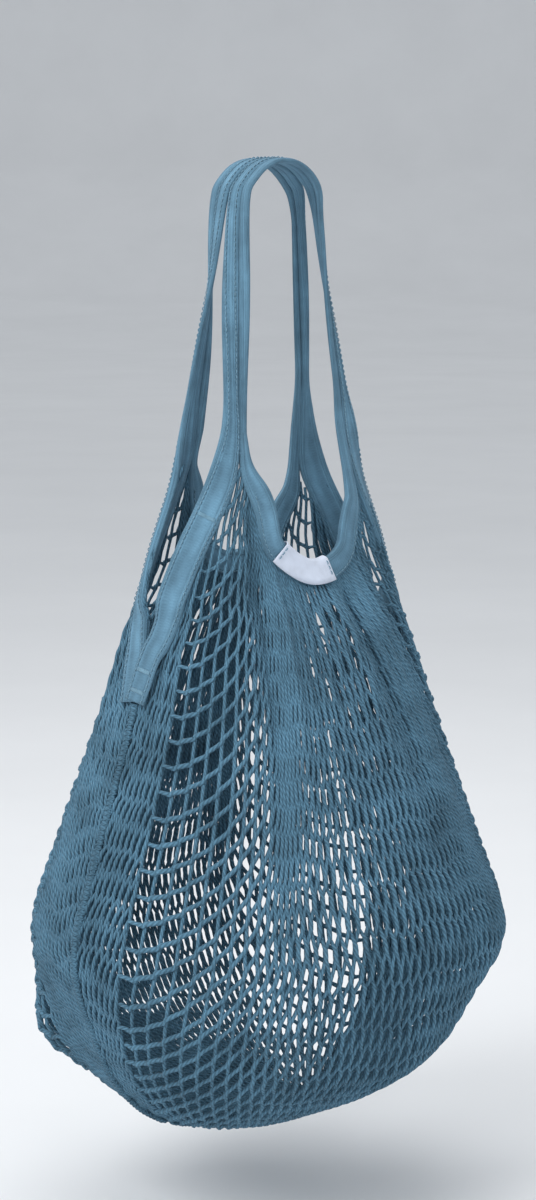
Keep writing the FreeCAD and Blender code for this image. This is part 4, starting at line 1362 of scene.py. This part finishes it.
# Lights: metres toward the camera, to its right and up from the bag's middle, size of the lamp,
# and share of the key light's power.
LIGHTS = {"key_light": (1.1, -1.0, 1.1, 0.9, 1.0), "fill_light": (1.3, 1.2, 0.85, 1.0, 0.22),
          "top_light": (-0.5, 0.0, 1.5, 1.2, 0.5)}
FLOOR_DROP = 0.045


class BAG_OT_stage(bpy.types.Operator):
    """Sets up the pale floor, the soft studio lights and the camera"""

    bl_idname = "bag.stage"
    bl_label = "Stage"

    def execute(self, context):
        settings = context.scene.bag_stage
        low, high = CAD_BOX
        middle = np.array([0.0, 0.0, (low.z + high.z) / 2 + 25 * MM])
        self.floor(low.z - FLOOR_DROP)
        turn, rise = settings.azimuth, settings.elevation
        back = np.array([math.sin(turn) * math.cos(rise), -math.cos(turn) * math.cos(rise),
                         math.sin(rise)])
        camera = bpy.data.objects.new("camera", bpy.data.cameras.new("camera"))
        context.scene.collection.objects.link(camera)
        camera.data.sensor_width = 36
        camera.data.lens = camera.data.sensor_width * settings.distance / settings.view_height
        self.aim(camera, middle + back * settings.distance, middle)
        context.scene.camera = camera
        right = np.array([math.cos(turn), math.sin(turn), 0])
        up = np.array([0, 0, 1.0])
        level = unit(back * [1, 1, 0])
        for name, (near, aside, above, size, share) in LIGHTS.items():
            self.light(name, middle + level * near + right * aside + up * above, middle, size,
                       settings.key_power * share)
        world = bpy.data.worlds.new("studio")
        world.use_nodes = True
        world.node_tree.nodes["Background"].inputs["Color"].default_value = (0.93, 0.96, 1.0, 1)
        world.node_tree.nodes["Background"].inputs["Strength"].default_value = 0.7
        context.scene.world = world
        context.scene.view_settings.view_transform = "Standard"
        return {"FINISHED"}

    @staticmethod
    def aim(thing, place, target):
        """Puts a camera or light at a place and points it at a target."""
        thing.location = place
        way = Vector(target) - Vector(place)
        thing.rotation_euler = way.to_track_quat("-Z", "Y").to_euler()

    def light(self, name, place, target, size, power):
        """Adds an area lamp that can't itself be seen."""
        data = bpy.data.lights.new(name, "AREA")
        data.size, data.energy = size, power
        lamp = bpy.data.objects.new(name, data)
        lamp.visible_camera = False
        bpy.context.scene.collection.objects.link(lamp)
        self.aim(lamp, place, target)

    @staticmethod
    def floor(height):
        """A pale floor that curves up into a far wall, all round."""
        profile = [(0.02, 0), (3.0, 0), (9.0, 0), (10.5, 0.15), (11.5, 0.7), (12.0, 1.8), (12.0, 5.0)]
        turns = np.linspace(0, 2 * math.pi, 64, endpoint=False)
        vertices = [[r * math.cos(t), r * math.sin(t), height + z] for r, z in profile
                    for t in turns]
        count = len(turns)
        faces = [list(range(count))]
        for ring in range(len(profile) - 1):
            for k in range(count):
                ahead = (k + 1) % count
                faces.append([ring * count + k, (ring + 1) * count + k,
                              (ring + 1) * count + ahead, ring * count + ahead])
        nodes = Nodes("pale_floor")
        pale = nodes.ramp(nodes.noise(3.0), [(0.3, (0.80, 0.81, 0.82)), (0.7, (0.83, 0.84, 0.85))])
        material = nodes.finish(pale, 0.9, 0.0)
        uvs = np.zeros((sum(len(f) for f in faces), 2))
        new_piece("floor", vertices, faces, uvs, material)


# ---------------------------------------------------------------- panel, registration and main

class BAG_PT_panel(bpy.types.Panel):
    """Lists the bag's pieces and their settings"""

    bl_idname = "BAG_PT_panel"
    bl_label = "Net Bag"
    bl_space_type = "VIEW_3D"
    bl_region_type = "UI"
    bl_category = "Net Bag"

    def draw(self, context):
        for settings in (context.scene.bag_net, context.scene.bag_tape, context.scene.bag_trim,
                         context.scene.bag_stage):
            box = self.layout.box()
            for name in settings.bl_rna.properties.keys():
                if name not in ("rna_type", "name"):
                    box.prop(settings, name)
        for operator in PIECES:
            self.layout.operator(operator.bl_idname)


SETTINGS = {"bag_net": NetSettings, "bag_tape": TapeSettings, "bag_trim": TrimSettings,
            "bag_stage": StageSettings}
PIECES = (BAG_OT_netting, BAG_OT_straps, BAG_OT_mouth, BAG_OT_stitching, BAG_OT_tacks,
          BAG_OT_seams, BAG_OT_label, BAG_OT_stage)
CLASSES = (*SETTINGS.values(), *PIECES, BAG_PT_panel)


def register():
    for cls in CLASSES:
        bpy.utils.register_class(cls)
    for name, cls in SETTINGS.items():
        setattr(bpy.types.Scene, name, PointerProperty(type=cls))


def unregister():
    for name in SETTINGS:
        delattr(bpy.types.Scene, name)
    for cls in reversed(CLASSES):
        bpy.utils.unregister_class(cls)


def main():
    register()
    bpy.ops.bag.netting()
    bpy.ops.bag.straps()
    bpy.ops.bag.mouth()
    bpy.ops.bag.stitching()
    bpy.ops.bag.tacks()
    bpy.ops.bag.seams()
    bpy.ops.bag.label()
    bpy.ops.bag.stage()


if __name__ == "__main__":
    main()
